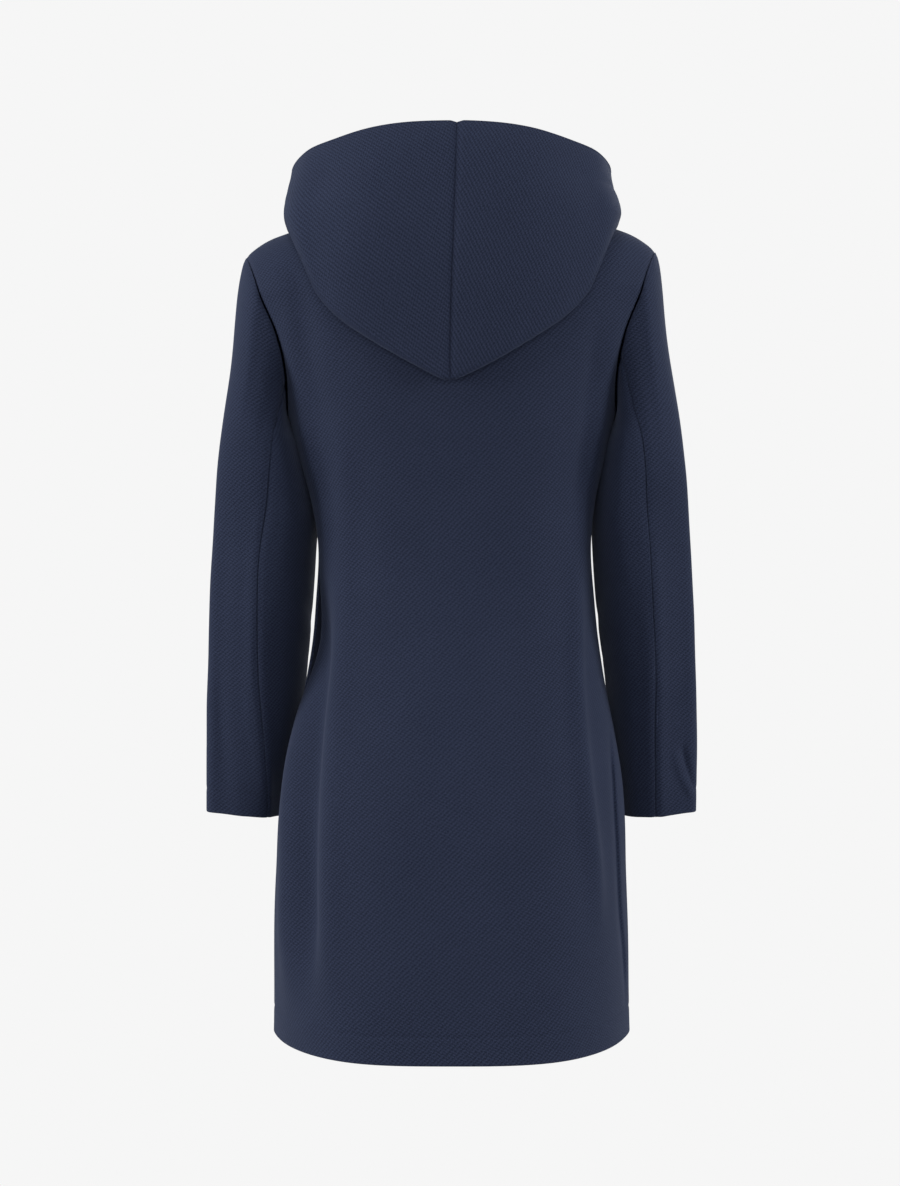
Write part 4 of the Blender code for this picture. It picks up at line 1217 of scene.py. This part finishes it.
def build_tab(side, name, height):
    """Leather tab with rounded edges, and the row of stitches that holds it. Each side
    of the row is the last one turned by a quarter, which is a product with i."""
    share = np.linspace(-1, 1, TAB_STEPS)
    across, up = np.meshgrid(share * side, share, indexing="ij")
    made = grid_mesh(name + "_leather", on_tab(side, across, up, height), leather)
    walled(made, TAB_THICK)
    edge = made.modifiers.new("edge", "BEVEL")
    edge.width, edge.segments = TAB_BEVEL, 3
    edge.limit_method, edge.angle_limit = "ANGLE", math.radians(BEVEL_ANGLE)
    tied(made, "navy_leather", name)

    inset = 1 - 2 * STITCH_INSET / TAB_WIDTH
    line = np.linspace(-inset, inset, 60) - 1j * inset
    rim = np.concatenate([line, *(line[1:] * 1j**quarter for quarter in (1, 2, 3))])
    route = resampled(on_tab(side, rim.real, rim.imag, height), THREAD_STEP)
    step, length = round(STITCH_PITCH / THREAD_STEP), round(STITCH / THREAD_STEP) + 1
    taper = THREAD * np.sqrt(1 - np.linspace(-THREAD_END, THREAD_END, length) ** 2)
    stitches = [swept(route[i:i + length], taper, THREAD_SIDES)
                for i in range(0, len(route) - length, step)]
    joined(name + "_stitches", stitches, cotton, "navy_cord")


# %% Cords
STRAND, STRAND_OFFSET, STRAND_SIDES = 0.00098, 0.00082, 8
LAY_LENGTH, CORD_STEP = 0.0065, 0.0008
RUN_IN = 0.004                   # how far a cord runs in beneath its tab
LOOP_BEND = 0.0070               # where the loop starts to bend round
LOOP_CLIMB, CLIMB_WIDTH = -0.006, 0.014        # where it climbs from the front
TOGGLE_CLIMB = 0.012             # where the toggle's cord leaves the front


def loop_route(height):
    """Route of the loop: from the right tab round behind the toggle and back."""
    turn = np.linspace(np.pi / 2, -np.pi / 2, 25)
    straight = np.linspace(-TAB_START - RUN_IN, LOOP_BEND, 30)[:-1]
    x = np.concatenate([straight, LOOP_BEND + LOOP_HALF * np.cos(turn), straight[::-1]])
    z = LOOP_HALF * np.concatenate([0 * straight + 1, np.sin(turn), 0 * straight - 1])
    low, high = CORD_RADIUS + CORD_REST, 3 * CORD_RADIUS + CORD_REST + TOUCH
    out = low + (high - low) * ease((x - LOOP_CLIMB) / CLIMB_WIDTH)
    return on_front(x, height + z, out)


def toggle_route(height):
    """Route of the toggle's cord: from the left tab, out and round the waist."""
    low = CORD_RADIUS + CORD_REST
    straight = np.linspace(TAB_START + RUN_IN, TOGGLE_CLIMB, 24)[:-1]
    bend, half = np.linspace(0, np.pi / 2, 12), np.linspace(0, np.pi, 21)[1:-1]
    there = np.concatenate([straight, TOGGLE_CLIMB * (1 - np.sin(bend))])
    rise = low + (TOGGLE_LIFT - low) * np.concatenate([0 * straight, 1 - np.cos(bend)])
    x = np.concatenate([there, 0 * half, there[::-1]])
    z = WAIST * np.concatenate([0 * there + 1, np.cos(half), 0 * there - 1])
    out = np.concatenate([rise, TOGGLE_LIFT + WAIST * np.sin(half), rise[::-1]])
    return on_front(x, height + z, out)


def build_cord(node, route):
    """Three strands laid round a route, a third of a turn apart."""
    path = resampled(rounded(resampled(route, CORD_STEP)), CORD_STEP)
    side, cross = side_vectors(path)
    turn = 2 * np.pi * np.arange(len(path)) * CORD_STEP / LAY_LENGTH
    strands = []
    for third in range(3):
        angle = (turn + 2 * np.pi * third / 3)[:, None]
        strand = path + STRAND_OFFSET * (side * np.cos(angle) + cross * np.sin(angle))
        strands.append(swept(strand, STRAND, STRAND_SIDES))
    joined(node + "_laid", strands, cotton, "navy_cord", node)


# %% Toggles
DOME_START = 0.92                # where the rounding of a toggle's end starts
TOGGLE_STEPS, TOGGLE_SIDES = 73, 48


def build_toggle(node, height):
    """Turned toggle: the radius at each place along X, with both ends domed."""
    share = np.sin(np.linspace(-np.pi / 2, np.pi / 2, TOGGLE_STEPS))[1:-1]
    dome = np.clip((np.abs(share) - DOME_START) / (1 - DOME_START), 0, 0.999)
    middle = on_front(0.0, height, TOGGLE_LIFT)
    path = middle + share[:, None] * (TOGGLE_LENGTH / 2, 0, 0)
    radius = through(TOGGLE, "radius", np.abs(share)) * np.sqrt(1 - dome**2)
    joined(node + "_turned", [swept(path, radius, TOGGLE_SIDES)], horn, "dark_horn", node)


for number, height in enumerate(FASTENING_HEIGHTS, 1):
    build_tab(LEFT, f"toggle_tab_{number}", height)
    build_tab(RIGHT, f"loop_tab_{number}", height)
    build_cord(f"toggle_cord_{number}", toggle_route(height))
    build_cord(f"loop_cord_{number}", loop_route(height))
    build_toggle(f"toggle_{number}", height)
print("fastenings", 5 * len(FASTENING_HEIGHTS))

# %% [markdown]
# ## What each piece hangs from
#
# Each panel hangs from the shoulders, and the hood lies on them. For every piece the
# pieces that it hangs from or lies on are listed and printed.

HANGS_FROM = {
    back_cloth: [front_left_cloth, front_right_cloth],
    front_left_cloth: [back_cloth],
    front_right_cloth: [back_cloth, front_left_cloth],
    top_left: [back_cloth, front_left_cloth],
    under_left: [top_left, back_cloth],
    top_right: [back_cloth, front_right_cloth],
    under_right: [top_right, back_cloth],
}
LIES_ON = {
    hood_left_cloth: [back_cloth, front_left_cloth],
    hood_right_cloth: [back_cloth, front_right_cloth, hood_left_cloth],
}
for held, pieces in (("hung", HANGS_FROM), ("draped", LIES_ON)):
    print(held, [piece.name for piece in pieces])
